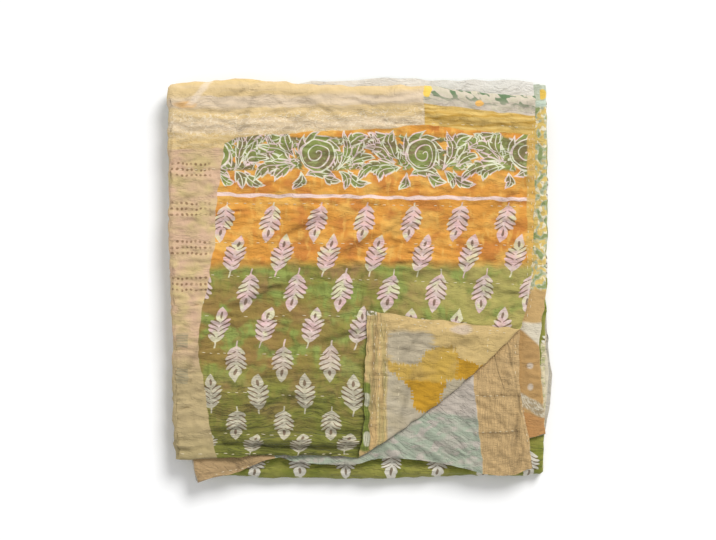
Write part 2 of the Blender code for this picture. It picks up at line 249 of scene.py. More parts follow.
class QuiltSizes(bpy.types.PropertyGroup):
    """Sizes of the quilt and of how its cloth is worked."""

    width: bpy.props.FloatProperty(
        name="Width", description="Width of the quilt laid out flat", default=1.66, unit="LENGTH"
    )
    length: bpy.props.FloatProperty(
        name="Length", description="Length of the quilt laid out flat", default=1.29, unit="LENGTH"
    )
    thickness: bpy.props.FloatProperty(
        name="Thickness", description="Thickness of the quilted cloth", default=1.5 * MM, unit="LENGTH"
    )
    air_gap: bpy.props.FloatProperty(
        name="Air gap", description="Gap between two layers in the bundle", default=0.9 * MM, unit="LENGTH"
    )
    crinkle: bpy.props.FloatProperty(
        name="Crinkle", description="Height of the fine crinkles that washing leaves", default=1.8 * MM,
        unit="LENGTH",
    )
    pucker: bpy.props.FloatProperty(
        name="Pucker", description="How deep a row of running stitch draws the cloth in", default=0.7 * MM,
        unit="LENGTH",
    )
    stitch_length: bpy.props.FloatProperty(
        name="Stitch", description="Length of one running stitch", default=4.6 * MM, unit="LENGTH"
    )
    thread: bpy.props.FloatProperty(
        name="Thread", description="Thickness of the quilting thread", default=0.68 * MM, unit="LENGTH"
    )


class QuiltColours(bpy.types.PropertyGroup):
    """Colours of the patches and their prints, as seen on the cloth."""

    orange: bpy.props.FloatVectorProperty(
        name="Orange", description="Ground of the printed panel's far half", subtype="COLOR",
        default=(0.86, 0.60, 0.26),
    )
    olive: bpy.props.FloatVectorProperty(
        name="Olive", description="Ground of the printed panel's near half", subtype="COLOR",
        default=(0.54, 0.54, 0.25),
    )
    leaf: bpy.props.FloatVectorProperty(
        name="Leaf print", description="Printed leaves and the lines of the scroll border", subtype="COLOR",
        default=(0.87, 0.78, 0.76),
    )
    thread: bpy.props.FloatVectorProperty(
        name="Thread", description="Quilting thread", subtype="COLOR", default=(0.93, 0.88, 0.75)
    )


class StageSettings(bpy.types.PropertyGroup):
    """The floor, the lights and the camera."""

    floor: bpy.props.FloatVectorProperty(
        name="Floor", description="Colour of the floor", subtype="COLOR", default=(0.97, 0.97, 0.97)
    )
    key_strength: bpy.props.FloatProperty(
        name="Key light", description="Strength of the broad soft light", default=2.6
    )
    sky_strength: bpy.props.FloatProperty(
        name="Sky", description="Strength of the even light from all round", default=0.62
    )
    camera_height: bpy.props.FloatProperty(
        name="Camera height", description="Height of the camera over the floor", default=5.0, unit="LENGTH"
    )


def smooth_row(table, column, at):
    """The table's column at these places of its first column, on a smooth curve through its rows."""
    knots, values = table[:, 0], table[:, column]
    at = np.clip(at, knots[0], knots[-1])
    low = np.clip(np.searchsorted(knots, at) - 1, 0, len(knots) - 2)
    slopes = np.gradient(values, knots)
    step = knots[low + 1] - knots[low]
    t = (at - knots[low]) / step
    rise = values[low + 1] - values[low]
    bend_in = t * (t - 1) ** 2 * (slopes[low] * step - rise)
    bend_out = t**2 * (t - 1) * (slopes[low + 1] * step - rise)
    return values[low] + rise * t + bend_in + bend_out


def piece_of(place, spans):
    """Which of these spans each place lies in, and how far through it, from 0 to 1."""
    ends = np.cumsum(spans)
    piece = np.clip(np.searchsorted(ends, place, side="right"), 0, len(spans) - 1)
    starts = ends - np.array(spans)
    return piece, np.clip((place - starts[piece]) / np.array(spans)[piece], 0, 1)


def smooth_step(low, high, value):
    """0 below low, 1 above high, and an even slope between."""
    t = np.clip((value - low) / (high - low), 0, 1)
    return t * t * (3 - 2 * t)


class Folding:
    """How the flat quilt lies in the bundle, worked out from its sizes as in the CAD."""

    def __init__(self, sizes):
        self.thickness = sizes.thickness
        self.pitch = sizes.thickness + sizes.air_gap
        self.gap = sizes.air_gap
        self.run_turn = 2 * self.pitch
        self.outer_turn = 1.5 * self.pitch
        self.inner_turn = self.pitch / 2
        self.half_run = self.outer_turn + self.thickness / 2
        run_pitch = 4 * self.pitch
        self.run_heights = (self.half_run + 2 * run_pitch, self.half_run + run_pitch, self.half_run)
        self.top_sheet = self.run_heights[0] + self.outer_turn
        turns = math.pi * (self.outer_turn + 2 * self.inner_turn)
        self.panel = (sizes.width - turns) / 4
        self.across = (
            self.panel,
            math.pi * self.outer_turn,
            self.panel,
            math.pi * self.inner_turn,
            self.panel,
            math.pi * self.inner_turn,
            self.panel,
        )
        self.run = (sizes.length - 2 * math.pi * self.run_turn) / 3
        self.along = (self.run, math.pi * self.run_turn, self.run, math.pi * self.run_turn, self.run)

    def sides(self, along):
        """The middles of the three folds and the two hems, left to right, at this place along."""
        inset = self.thickness / 2
        outer = smooth_row(SIDES, OUTER_SIDE, along) + self.outer_turn + inset
        inner = smooth_row(SIDES, INNER_SIDE, along) + self.inner_turn + inset
        right = smooth_row(SIDES, RIGHT_SIDE, along) - self.inner_turn - inset
        return outer, inner, right, smooth_row(SIDES, TOP_HEM, along), smooth_row(SIDES, SECOND_HEM, along)

    def across_the_bundle(self, u, n, along):
        """Place left to right and height in a run, of cloth at u across the sheet and n in front of
        its middle."""
        piece, part = piece_of(u, self.across)
        side, up = np.sin(math.pi * part), np.cos(math.pi * part)
        outer, inner, right, top_hem, second_hem = self.sides(along)
        x = np.choose(
            piece,
            [
                top_hem + (outer - top_hem) * part,
                outer - (self.outer_turn + n) * side,
                outer + (right - outer) * part,
                right + (self.inner_turn + n) * side,
                right + (inner - right) * part,
                inner - (self.inner_turn - n) * side,
                inner + (second_hem - inner) * part,
            ],
        )
        height = np.choose(
            piece,
            [
                1.5 * self.pitch + n,
                (self.outer_turn + n) * up,
                -1.5 * self.pitch - n,
                -self.pitch - (self.inner_turn + n) * up,
                -0.5 * self.pitch + n,
                -(self.inner_turn - n) * up,
                0.5 * self.pitch - n,
            ],
        )
        return x, height, piece, part

    def end_of(self, x, piece, part, columns):
        """Where the end hem lies at x, for the layer or fold that each point is in."""
        top, second, third, fourth = (smooth_row(ENDS, column, x) for column in columns)
        return np.choose(
            piece,
            [
                top,
                top + (fourth - top) * part,
                fourth,
                fourth + (third - fourth) * part,
                third,
                third + (second - third) * part,
                second,
            ],
        )

    def folded(self, u, w, n):
        """Where a point of the flat sheet lies in the bundle, before its corner is turned."""
        run, through = piece_of(w, self.along)
        along = np.choose(run, [through, 1, 1 + through, 2, 2 + through])
        x, height, piece, part = self.across_the_bundle(u, n, along)
        reach = self.run_turn + self.half_run
        far = smooth_row(ENDS, FAR_SIDE, x) - reach
        near = smooth_row(ENDS, NEAR_SIDE, x) + reach
        upper_end = self.end_of(x, piece, part, (TOP_END, SECOND_END, THIRD_END, FOURTH_END))
        lower_end = self.end_of(x, piece, part, (LOWER_TOP_END, LOWER_END, LOWER_END, LOWER_END))
        turn = math.pi * through
        y = np.choose(
            run,
            [
                upper_end + (far - upper_end) * through,
                far + (self.run_turn + height) * np.sin(turn),
                far + (near - far) * through,
                near - (self.run_turn - height) * np.sin(turn),
                near + (lower_end - near) * through,
            ],
        )
        upper, middle, lower = self.run_heights
        z = np.choose(
            run,
            [
                upper + height,
                upper - self.run_turn + (self.run_turn + height) * np.cos(turn),
                middle - height,
                middle - self.run_turn + (self.run_turn - height) * np.cos(turn),
                lower + height,
            ],
        )
        return x, y, z

    def lying(self, u, w, panel, run):
        """Where a point would lie seen from above, if its panel and run went on flat past their folds.
        The panels are 0 to 3 from the top layer's, and the runs 0 to 2 from the upper one."""
        starts = np.concatenate([[0.0], np.cumsum(self.across)])
        lengths = np.concatenate([[0.0], np.cumsum(self.along)])
        through = (w - lengths[2 * run]) / self.run
        along = np.clip(through, 0, 1) + run
        part = (u - starts[2 * panel]) / self.panel
        outer, inner, right, top_hem, second_hem = self.sides(along)
        begin = np.choose(panel, [top_hem, outer, right, inner])
        finish = np.choose(panel, [outer, right, inner, second_hem])
        x = begin + (finish - begin) * part
        reach = self.run_turn + self.half_run
        far = smooth_row(ENDS, FAR_SIDE, x) - reach
        near = smooth_row(ENDS, NEAR_SIDE, x) + reach
        ends = [smooth_row(ENDS, column, x) for column in (TOP_END, FOURTH_END, THIRD_END, SECOND_END)]
        upper_end = np.choose(panel, ends)
        lower_end = np.where(panel == 0, smooth_row(ENDS, LOWER_TOP_END, x), smooth_row(ENDS, LOWER_END, x))
        y = np.choose(
            run,
            [
                upper_end + (far - upper_end) * through,
                far + (near - far) * through,
                near + (lower_end - near) * through,
            ],
        )
        return x, y

    def turned(self, x, y, z, top):
        """Turns the top layer's near right corner back, and bows its crease. top says which points are
        in the top layer."""
        off_x, off_y = math.sin(CREASE_ANGLE), -math.cos(CREASE_ANGLE)
        past = (x - CREASE_X) * off_x + (y - CREASE_Y) * off_y + ROLL_RADIUS
        turning = top & (past > 0)
        angle = np.clip(past / ROLL_RADIUS, 0, math.pi)
        flat = np.maximum(past - math.pi * ROLL_RADIUS, 0)
        n = z - self.top_sheet
        settle = (2 * ROLL_RADIUS - self.pitch) * (1 - np.exp(-flat / FLAP_SETTLES_OVER))
        moved = np.where(turning, (ROLL_RADIUS - n) * np.sin(angle) - flat - past, 0)
        lift = np.where(turning, ROLL_RADIUS - (ROLL_RADIUS - n) * np.cos(angle) - n - settle, 0)
        x, y, z = x + moved * off_x, y + moved * off_y, z + lift
        along = (x - CREASE_X) * -off_y + (y - CREASE_Y) * off_x
        off = (x - CREASE_X) * off_x + (y - CREASE_Y) * off_y
        share = np.cos(math.pi / 2 * np.clip(along / CREASE_HALF_LENGTH, -1, 1))
        bow = np.where(top, CREASE_BOW * share * np.exp(-((off / BOW_FADES_OVER) ** 2)), 0)
        return x + bow * off_x, y + bow * off_y, z

    def uneven(self, x, y, z, smooth_z):
        """Swells the bundle, lets it slump at its edges, and raises the main creases. smooth_z is the
        height without crinkles."""
        share = smooth_z / self.top_sheet
        wave = np.sin(2 * math.pi * (x / SWELL_LENGTH + SWELL_SHIFT))
        wave = wave * np.cos(2 * math.pi * y / SWELL_LENGTH)
        edge = np.maximum(np.abs(x) - HALF_SPAN[0] + SLUMP_WIDTH, 0) / SLUMP_WIDTH
        end = np.maximum(np.abs(y) - HALF_SPAN[1] + SLUMP_WIDTH, 0) / SLUMP_WIDTH
        swelled = z + share * (SWELL * wave - SLUMP * (edge**2 + end**2))
        under = self.top_sheet - self.pitch + self.thickness / 2
        top_layer = np.clip((smooth_z - under) / self.gap, 0, 1)
        flap = np.clip((smooth_z - under - self.pitch) / self.gap, 0, 1)
        raised = top_layer * crease_height(TOP_RIDGES, x, y) + flap * crease_height(FLAP_RIDGES, x, y)
        return x, y, swelled + raised


def crease_height(creases, x, y):
    """How high these creases stand at each place."""
    height = np.zeros_like(x)
    for mid_x, mid_y, degrees, half_length, half_width, rise in creases:
        angle = math.radians(degrees)
        along = (x - mid_x) * math.cos(angle) + (y - mid_y) * math.sin(angle)
        across = (y - mid_y) * math.cos(angle) - (x - mid_x) * math.sin(angle)
        height += rise * np.exp(-((along / half_length) ** 4) - (across / half_width) ** 2)
    return height


def past_crease(x, y):
    """How far a place lies past the crease of the turned corner."""
    return (x - CREASE_X) * math.sin(CREASE_ANGLE) - (y - CREASE_Y) * math.cos(CREASE_ANGLE)


def under_flap(x, y):
    """How far inside the turned corner's outline a place lies, below 0 outside."""
    inside = np.full_like(x, 1.0)
    for here, there in zip(FLAP_CORNERS, FLAP_CORNERS[1:] + FLAP_CORNERS[:1]):
        edge_x, edge_y = there[0] - here[0], there[1] - here[1]
        away = ((y - here[1]) * edge_x - (x - here[0]) * edge_y) / math.hypot(edge_x, edge_y)
        inside = np.minimum(inside, -away)
    return inside


def noise_at(x, y, size_x, size_y, seed):
    """Soft noise from -1 to 1 whose bumps are about size_x by size_y."""
    points = np.stack([x / size_x, y / size_y, np.full_like(x, seed)], axis=-1)
    return np.array([noise.noise(point) for point in points.tolist()])


# The bumps of the fine crinkle, by their size across and along, and the sway that bends them.
LONG_PUFFS, SHORT_PUFFS = (0.040, 0.0095), (0.017, 0.0068)
SLANTED_PUFFS, BROAD_SWELL = (0.055, 0.016), (0.085, 0.026)
SWAY, SWAY_SIZE = 6 * MM, (0.060, 0.045)
# The highest and the mean crinkle, and the height below which a crinkle lies in a crease that gets painted
# shade.
HIGHEST_CRINKLE, MEAN_CRINKLE, CREASED_BELOW = 2.4, 0.6, 0.9


def crinkle_height(x, y, seed):
    """The fine crinkle of washed and quilted cotton, from 0 to about 2: long soft puffs that lie mostly
    across, with sharp creases between them."""
    sway = SWAY * noise_at(x, y, *SWAY_SIZE, seed + 3)
    long_puffs = np.abs(noise_at(x, y + sway, *LONG_PUFFS, seed))
    short_puffs = np.abs(noise_at(x + sway, y - sway, *SHORT_PUFFS, seed + 11))
    slanted = np.abs(noise_at(x * 0.9 + y * 0.45, y * 0.9 - x * 0.45, *SLANTED_PUFFS, seed + 17))
    broad = noise_at(x, y + sway, *BROAD_SWELL, seed + 7)
    rise = 0.30 + 2.3 * long_puffs + 1.3 * short_puffs + 1.2 * slanted + 0.7 * broad
    return np.clip(rise, 0, HIGHEST_CRINKLE)


# How wide a row of stitches draws the cloth in, and over what length the dip begins and ends.
DIP_WIDTH = 0.0026
DIP_BEGINS_OVER, DIP_ENDS_OVER = 0.004, 0.006


def row_dip(x, y):
    """How strongly a row of running stitch draws the cloth in at each place, 0 to 1."""
    dip = np.zeros_like(x)
    for left_x, left_y, right_x, right_y in STITCH_ROWS:
        share = np.clip((x - left_x) / (right_x - left_x), 0, 1)
        line = left_y + (right_y - left_y) * share
        inside = smooth_step(left_x - DIP_BEGINS_OVER, left_x + DIP_BEGINS_OVER, x)
        inside = inside * smooth_step(-right_x, DIP_ENDS_OVER - right_x, -x)
        dip = np.maximum(dip, inside * np.exp(-(((y - line) / DIP_WIDTH) ** 2)))
    return dip


# How the cloth's flat grid is divided, and with how many cuts the parts that show and the folds are
# divided again.
ACROSS_CELLS = (24, 8, 20, 6, 20, 6, 24)
ALONG_CELLS = (24, 10, 24, 10, 12)
SHOWN_CUTS = 7
FOLD_CUTS = 3


def divided(spans, cells):
    """The places that divide each span into its number of cells."""
    ends = np.concatenate([[0.0], np.cumsum(spans)])
    runs = [np.linspace(ends[i], ends[i + 1], cells[i] + 1)[1:] for i in range(len(spans))]
    return np.concatenate([[0.0], *runs])


def deselect_all():
    """Leaves nothing selected or active."""
    bpy.ops.object.select_all(action="DESELECT")
    bpy.context.view_layer.objects.active = None


def coordinates(mesh):
    """The mesh's vertex places as three arrays."""
    places = np.empty(len(mesh.vertices) * 3)
    mesh.vertices.foreach_get("co", places)
    return places.reshape(-1, 3).T


def move_to(mesh, x, y, z):
    """Moves the mesh's vertices to these places."""
    mesh.vertices.foreach_set("co", np.stack([x, y, z], axis=-1).ravel())
    mesh.update()


def face_middles(mesh):
    """The middle of each face, as three arrays."""
    middles = np.empty(len(mesh.polygons) * 3)
    mesh.polygons.foreach_get("center", middles)
    return middles.reshape(-1, 3).T


def select_faces(cloth, chosen):
    """Selects these faces of the cloth and nothing else."""
    bpy.ops.object.mode_set(mode="EDIT")
    bpy.ops.mesh.select_mode(type="FACE")
    bpy.ops.mesh.select_all(action="DESELECT")
    bpy.ops.object.mode_set(mode="OBJECT")
    cloth.data.polygons.foreach_set("select", chosen)


def divide_faces(cloth, chosen, cuts):
    """Divides these faces of the cloth again, each edge into cuts + 1."""
    select_faces(cloth, chosen)
    bpy.ops.object.mode_set(mode="EDIT")
    bpy.ops.mesh.subdivide(number_cuts=cuts)
    bpy.ops.object.mode_set(mode="OBJECT")


def flat_cloth(fold):
    """The quilt laid out flat, front up, its shown parts divided finely."""
    u_lines, w_lines = divided(fold.across, ACROSS_CELLS), divided(fold.along, ALONG_CELLS)
    columns, rows = len(u_lines) - 1, len(w_lines) - 1
    deselect_all()
    bpy.ops.mesh.primitive_grid_add(x_subdivisions=columns, y_subdivisions=rows, size=1)
    cloth = bpy.context.object
    x, y, _ = coordinates(cloth.data)
    u = u_lines[np.rint((x + 0.5) * columns).astype(int)]
    w = w_lines[np.rint((y + 0.5) * rows).astype(int)]
    move_to(cloth.data, u, w, np.zeros_like(u))
    thick = cloth.modifiers.new("Thickness", "SOLIDIFY")
    thick.thickness = fold.thickness
    thick.offset = 0
    bpy.ops.object.modifier_apply(modifier=thick.name)
    divide_faces(cloth, shown_finely(fold, *face_middles(cloth.data)), SHOWN_CUTS)
    divide_faces(cloth, shown_on_folds(fold, *face_middles(cloth.data)), FOLD_CUTS)
    return cloth


def score_crease(cloth, fold):
    """Cuts edge lines across the top layer where it rolls over at the turned corner."""
    across_crease = (math.sin(CREASE_ANGLE), -math.cos(CREASE_ANGLE), 0)
    for step in range(ROLL_CELLS + 1):
        past = math.pi * ROLL_RADIUS * step / ROLL_CELLS - ROLL_RADIUS
        point = (CREASE_X + across_crease[0] * past, CREASE_Y + across_crease[1] * past, 0)
        _, _, height = face_middles(cloth.data)
        select_faces(cloth, height > fold.top_sheet - fold.pitch / 2)
        bpy.ops.object.mode_set(mode="EDIT")
        bpy.ops.mesh.bisect(plane_co=point, plane_no=across_crease, threshold=SNAP_DISTANCE)
        bpy.ops.object.mode_set(mode="OBJECT")


def panel_and_run(fold, u, w):
    """The panel and run that each flat place belongs to. A fold goes with the panel or run before it,
    but the fold at the right is shared by halves."""
    piece, part = piece_of(u, fold.across)
    run, _ = piece_of(w, fold.along)
    return piece // 2 + ((piece == 3) & (part > 0.5)), run // 2, piece, run


# Which parts of the lower layers show: past a line along the crease, nearer than a place, or to the
# right of one.
FLAP_SHOWS_PAST, SECOND_SHOWS_PAST = -0.012, -0.030
SECOND_SHOWS_NEARER, STRIP_SHOWS_NEARER = -0.185, -0.175
THIRD_SHOWS_RIGHT_OF, HEMS_SHOW_RIGHT_OF = 0.165, 0.198


def shown_finely(fold, u, w, n):
    """Which flat faces show from above and carry crinkles."""
    panel, layer, piece, run = panel_and_run(fold, u, w)
    x, y = fold.lying(u, w, panel, layer)
    front = n > fold.thickness / 4
    back = n < -fold.thickness / 4
    past = past_crease(x, y)
    upper = (run == 0) & (piece % 2 == 0)
    top_front = upper & front & (panel == 0)
    flap_back = upper & back & (panel == 0) & (past > FLAP_SHOWS_PAST)
    second_back = upper & back & (panel == 3) & ((past > SECOND_SHOWS_PAST) | (y < SECOND_SHOWS_NEARER))
    third_front = upper & front & (panel == 2) & (x > THIRD_SHOWS_RIGHT_OF)
    near_strip = (run == 2) & (piece == 2) & front & (y < STRIP_SHOWS_NEARER)
    right_hems = (run == 2) & (x > HEMS_SHOW_RIGHT_OF) & (((piece == 6) & front) | ((piece == 0) & back))
    return top_front | flap_back | second_back | third_front | near_strip | right_hems


def shown_on_folds(fold, u, w, n):
    """Which flat faces lie on the outside of the folds that show."""
    _, _, piece, run = panel_and_run(fold, u, w)
    front = n > fold.thickness / 4
    far_fold = (run == 1) & (piece == 0)
    near_fold = (run == 3) & (piece == 2)
    left_fold = (run == 0) & (piece == 1)
    right_folds = (run % 2 == 0) & (piece == 3)
    return front & (far_fold | near_fold | left_fold | right_folds)


# No trough goes deeper than this into the cloth, and a wrinkle this deep is shaded in full.
LOWEST = -0.0009
DARKEST_WRINKLE = 0.0016

# The top layer is more crinkled near its near hem.
NEAR_CRINKLE = 0.35
NEAR_FROM, NEAR_TO = 0.08, 0.17

# The ribs of the second layer's gauze: their sizes across and along, and how deep they are.
GAUZE_RIBS = ((0.0058, 0.018, 47), (0.02, 0.0052, 49))
RIB_DEPTH = 0.0016
GAUZE_FROM, GAUZE_TO = 0.112, 0.118

# How crinkled the lower layers are beside the top one.
SECOND_SHARE, THIRD_SHARE, HEM_CRINKLE_SHARE = 0.8, 0.6, 0.8

# Between which places the crinkles die away on the top layer: past its crease, and under its turned
# corner.
TOP_ENDS, COVERED_ENDS = (-0.004, 0.0), (-0.001, 0.004)

# Between which places they begin elsewhere: past the crease for the turned corner and the second
# layer, nearer than the top layer's hem, right of the upper hems, near the near fold, and right of
# what lies over the middle run's hems.
FLAP_BEGINS, SECOND_BEGINS = (0.002, 0.012), (0.004, 0.014)
SECOND_BEGINS_NEAR, BESIDE_HEM = (0.196, 0.203), (0.003, 0.008)
STRIP_BEGINS, HEM_BEGINS = (0.205, 0.214), (0.0, 0.003)

# Under the turned corner the top layer's hem no longer covers the third layer.
TURNED_HEM_SHIFT = 0.03


def raise_crinkles(fold, sizes, u, w, n):
    """Adds the crinkles to n, on the sides of the cloth that show, and says how deep each point lies
    in a crease, from 0 to 1, as painted shade for the colour."""
    panel, _, piece, run = panel_and_run(fold, u, w)
    _, part = piece_of(u, fold.across)
    _, through = piece_of(w, fold.along)
    front, back = n > 0, n < 0
    relief, painted_crease_shade = np.zeros_like(u), np.zeros_like(u)
    zero, one = np.zeros_like(panel), np.ones_like(panel)

    def crinkle(here, x, y, seed, height, share, wrinkles=(), face=1, slant=0.0):
        along, away = math.cos(slant), math.sin(slant)
        rise = crinkle_height(x * along + y * away, y * along - x * away, seed)
        wrinkled = crease_height(wrinkles, x, y)
        # How deep the point lies in a crinkle's crease or a wrinkle's trough: painted shade that darkens
        # the colour.
        creased = np.clip(CREASED_BELOW - rise, 0, 1) + np.clip(-wrinkled / DARKEST_WRINKLE, 0, 1)
        painted_crease_shade[here] = creased * share
        relief[here] = face * np.maximum((rise - MEAN_CRINKLE) * height + wrinkled, LOWEST) * share

    # The top layer's front, up to its turned corner.
    x, y = fold.lying(u, w, zero, zero)
    share = np.where(piece == 0, 1, np.where(piece == 1, 1 - part, 0))
    share = share * np.where(run == 0, 1, np.where(run == 1, 1 - through, 0))
    past = past_crease(x, y)
    share = share * (1 - smooth_step(*TOP_ENDS, past))
    share = share * (1 - smooth_step(*COVERED_ENDS, under_flap(x, y)))
    here = front & (share > 0)
    height = sizes.crinkle * (1 + NEAR_CRINKLE * smooth_step(NEAR_FROM, NEAR_TO, -y[here]))
    crinkle(here, x[here], y[here], 1.0, height, share[here], WRINKLES)
    relief[here] -= sizes.pucker * row_dip(x[here], y[here]) * share[here]

    # The turned corner.
    here = back & (piece == 0) & (run == 0) & (past > FLAP_BEGINS[0])
    turned_x, turned_y, _ = fold.turned(x[here], y[here], np.full(here.sum(), fold.top_sheet), True)
    share = smooth_step(*FLAP_BEGINS, past[here])
    crinkle(here, turned_x, turned_y, 21.0, sizes.crinkle, share, FLAP_WRINKLES, -1)

    # The second layer, under the turned corner and along the near side.
    x, y = fold.lying(u, w, 3 * one, zero)
    past = past_crease(x, y)
    shown = np.maximum(smooth_step(*SECOND_BEGINS, past), smooth_step(*SECOND_BEGINS_NEAR, -y))
    here = back & (piece == 6) & (run == 0) & (shown > 0)
    x, y, shown = x[here], y[here], shown[here]
    crinkle(here, x, y, 41.0, SECOND_SHARE * sizes.crinkle, shown, SECOND_WRINKLES, -1, SECOND_SLANT)
    ribs = sum(np.abs(noise_at(x, y, *rib)) for rib in GAUZE_RIBS)
    relief[here] -= RIB_DEPTH * ribs * smooth_step(GAUZE_FROM, GAUZE_TO, x) * shown

    # The third layer, beside the hems of the first two.
    x, y = fold.lying(u, w, 2 * one, zero)
    top_hem = smooth_row(SIDES, TOP_HEM, through) - TURNED_HEM_SHIFT * (past > 0)
    shown = smooth_step(*BESIDE_HEM, x - smooth_row(SIDES, SECOND_HEM, through))
    shown = shown * smooth_step(*BESIDE_HEM, x - top_hem)
    here = front & (piece == 4) & (run == 0) & (shown > 0)
    crinkle(here, x[here], y[here], 61.0, THIRD_SHARE * sizes.crinkle, shown[here])

    # The leaf strip at the near fold.
    x, y = fold.lying(u, w, one, one)
    along = np.where(run == 2, smooth_step(*STRIP_BEGINS, -y), np.where(run == 3, 1 - through, 0))
    here = front & (piece == 2) & (along > 0)
    crinkle(here, x[here], y[here], 81.0, sizes.crinkle, along[here])

    # The middle run's hems, where they reach past what lies over them.
    right_fold = smooth_row(SIDES, RIGHT_SIDE, 1 + through)
    second_hem = np.maximum(smooth_row(SIDES, SECOND_HEM, 1 + through), right_fold)
    for hem_panel, hem, edge, seed, face in (
        (3 * one, front & (piece == 6), right_fold, 91.0, 1),
        (zero, back & (piece == 0), second_hem, 95.0, -1),
    ):
        x, y = fold.lying(u, w, hem_panel, one)
        here = hem & (run == 2) & (x > edge)
        shown = smooth_step(*HEM_BEGINS, (x - edge)[here])
        crinkle(here, x[here], y[here], seed, HEM_CRINKLE_SHARE * sizes.crinkle, shown, face=face)
    return n + relief, np.clip(painted_crease_shade, 0, 1)


def strayed(x, y, z):
    """Lets the outlines of the hems and folds stray a little, all that lies together in the same way."""
    points = np.stack([x / STRAY_SIZE, y / STRAY_SIZE, z / STRAY_BETWEEN_LAYERS], axis=-1).tolist()
    off_x = np.array([noise.noise(point) for point in points])
    off_y = np.array([noise.noise((point[1] + 50, point[0], point[2])) for point in points])
    return x + 2 * STRAY * off_x, y + 2 * STRAY * off_y, z


def place_print(cloth, fold, u, w, x, y):
    """Writes the UV map that the prints read: where each face's cloth lies, seen from above."""
    mesh = cloth.data
    middle_u, middle_w, middle_n = face_middles(mesh)
    panel, layer, _, _ = panel_and_run(fold, middle_u, middle_w)
    sizes = np.empty(len(mesh.polygons), dtype=int)
    mesh.polygons.foreach_get("loop_total", sizes)
    corner_vertex = np.empty(len(mesh.loops), dtype=int)
    mesh.loops.foreach_get("vertex_index", corner_vertex)
    panel, layer = np.repeat(panel, sizes), np.repeat(layer, sizes)
    flap = np.repeat((middle_n < 0), sizes) & (panel == 0) & (layer == 0)
    print_x, print_y = fold.lying(u[corner_vertex], w[corner_vertex], panel, layer)
    print_x = np.where(flap, x[corner_vertex], print_x)
    print_y = np.where(flap, y[corner_vertex], print_y)
    layer_map = mesh.uv_layers.new(name="print")
    layer_map.data.foreach_set("uv", np.stack([print_x, print_y], axis=-1).ravel())


# The material slots, in the order of PATCHWORK.
(
    LEAF_PRINT, TURNED_CORNER, SECOND_LAYER, RIGHT_EDGE, LEAF_STRIP, PLAIN_FRONT, PLAIN_BACK, WHITE_END,
    FAR_PATCHES,
) = range(9)

# Nearer than this the top layer's front needs only the leaf print and the dotted strip.
FAR_PATCHES_FROM = 0.100


def choose_patches(cloth, fold):
    """Gives each face the material slot of its patchwork."""
    u, w, n = face_middles(cloth.data)
    panel, layer, _, _ = panel_and_run(fold, u, w)
    _, far = fold.lying(u, w, panel, layer)
    front, upper = n >= 0, layer == 0
    places = {
        FAR_PATCHES: front & upper & (panel == 0) & (far > FAR_PATCHES_FROM),
        LEAF_PRINT: front & upper & (panel == 0),
        RIGHT_EDGE: front & upper & (panel == 2),
        LEAF_STRIP: front & (panel == 1),
        WHITE_END: front & (panel == 0) & (layer == 2),
        TURNED_CORNER: ~front & upper & (panel == 0),
        SECOND_LAYER: ~front & upper & (panel == 3),
        PLAIN_FRONT: front,
    }
    slot = np.select(list(places.values()), list(places), PLAIN_BACK)
    cloth.data.polygons.foreach_set("material_index", slot.astype(int))


# Materials


class Number:
    """A value in a material's nodes. Sums written with it become Math nodes."""

    def __init__(self, tree, socket):
        self.tree = tree
        self.socket = socket

    def math(self, operation, *others, clamp=False):
        node = self.tree.nodes.new("ShaderNodeMath")
        node.operation = operation
        node.use_clamp = clamp
        for entry, value in zip(node.inputs, (self, *others)):
            if isinstance(value, Number):
                self.tree.links.new(value.socket, entry)
            else:
                entry.default_value = value
        return Number(self.tree, node.outputs[0])

    def __add__(self, other):
        return self.math("ADD", other)

    def __sub__(self, other):
        return self.math("SUBTRACT", other)

    def __mul__(self, other):
        return self.math("MULTIPLY", other)

    def __truediv__(self, other):
        return self.math("DIVIDE", other)

    def __abs__(self):
        return self.math("ABSOLUTE")

    def squared(self):
        return self * self

    def times_plus(self, factor, added):
        return self.math("MULTIPLY_ADD", factor, added)

    def most(self, other):
        return self.math("MAXIMUM", other)

    def least(self, other):
        return self.math("MINIMUM", other)

    def above(self, edge, soft=0.6):
        """1 where the value is above the edge and 0 below it, blurred over soft."""
        if isinstance(edge, Number):
            return (self - edge).above(0, soft)
        return self.math("MULTIPLY_ADD", 1 / soft, 0.5 - edge / soft, clamp=True)

    def below(self, edge, soft=0.6):
        """1 where the value is below the edge and 0 above it, blurred over soft."""
        if isinstance(edge, Number):
            return edge.above(self, soft)
        return self.math("MULTIPLY_ADD", -1 / soft, edge / soft + 0.5, clamp=True)

    def between(self, low, high, soft=0.6):
        return self.above(low, soft) * self.below(high, soft)

    def wrapped(self, period):
        """The value brought into the range from minus to plus half of the period."""
        return self.math("WRAP", period / 2, -period / 2)

    def inverted(self):
        return self.times_plus(-1, 1)


def linear(colour):
    """A colour as it looks on the cloth, as the linear values that a shader takes."""
    return [((c + 0.055) / 1.055) ** 2.4 if c > 0.04045 else c / 12.92 for c in colour] + [1.0]


# How high a bump of 1 stands, how light the plain cloth is under the painted light and shade, how dark the
# painted shade in the creases is, and how deep the tucks are and how dark their painted shade is.
BUMP_HEIGHT = 0.9 * MM
PLAIN_SHADE = 0.875
HOLLOW_SHADE = 0.36
TUCK_DEPTH, TUCK_SHADE = 0.9, 0.22


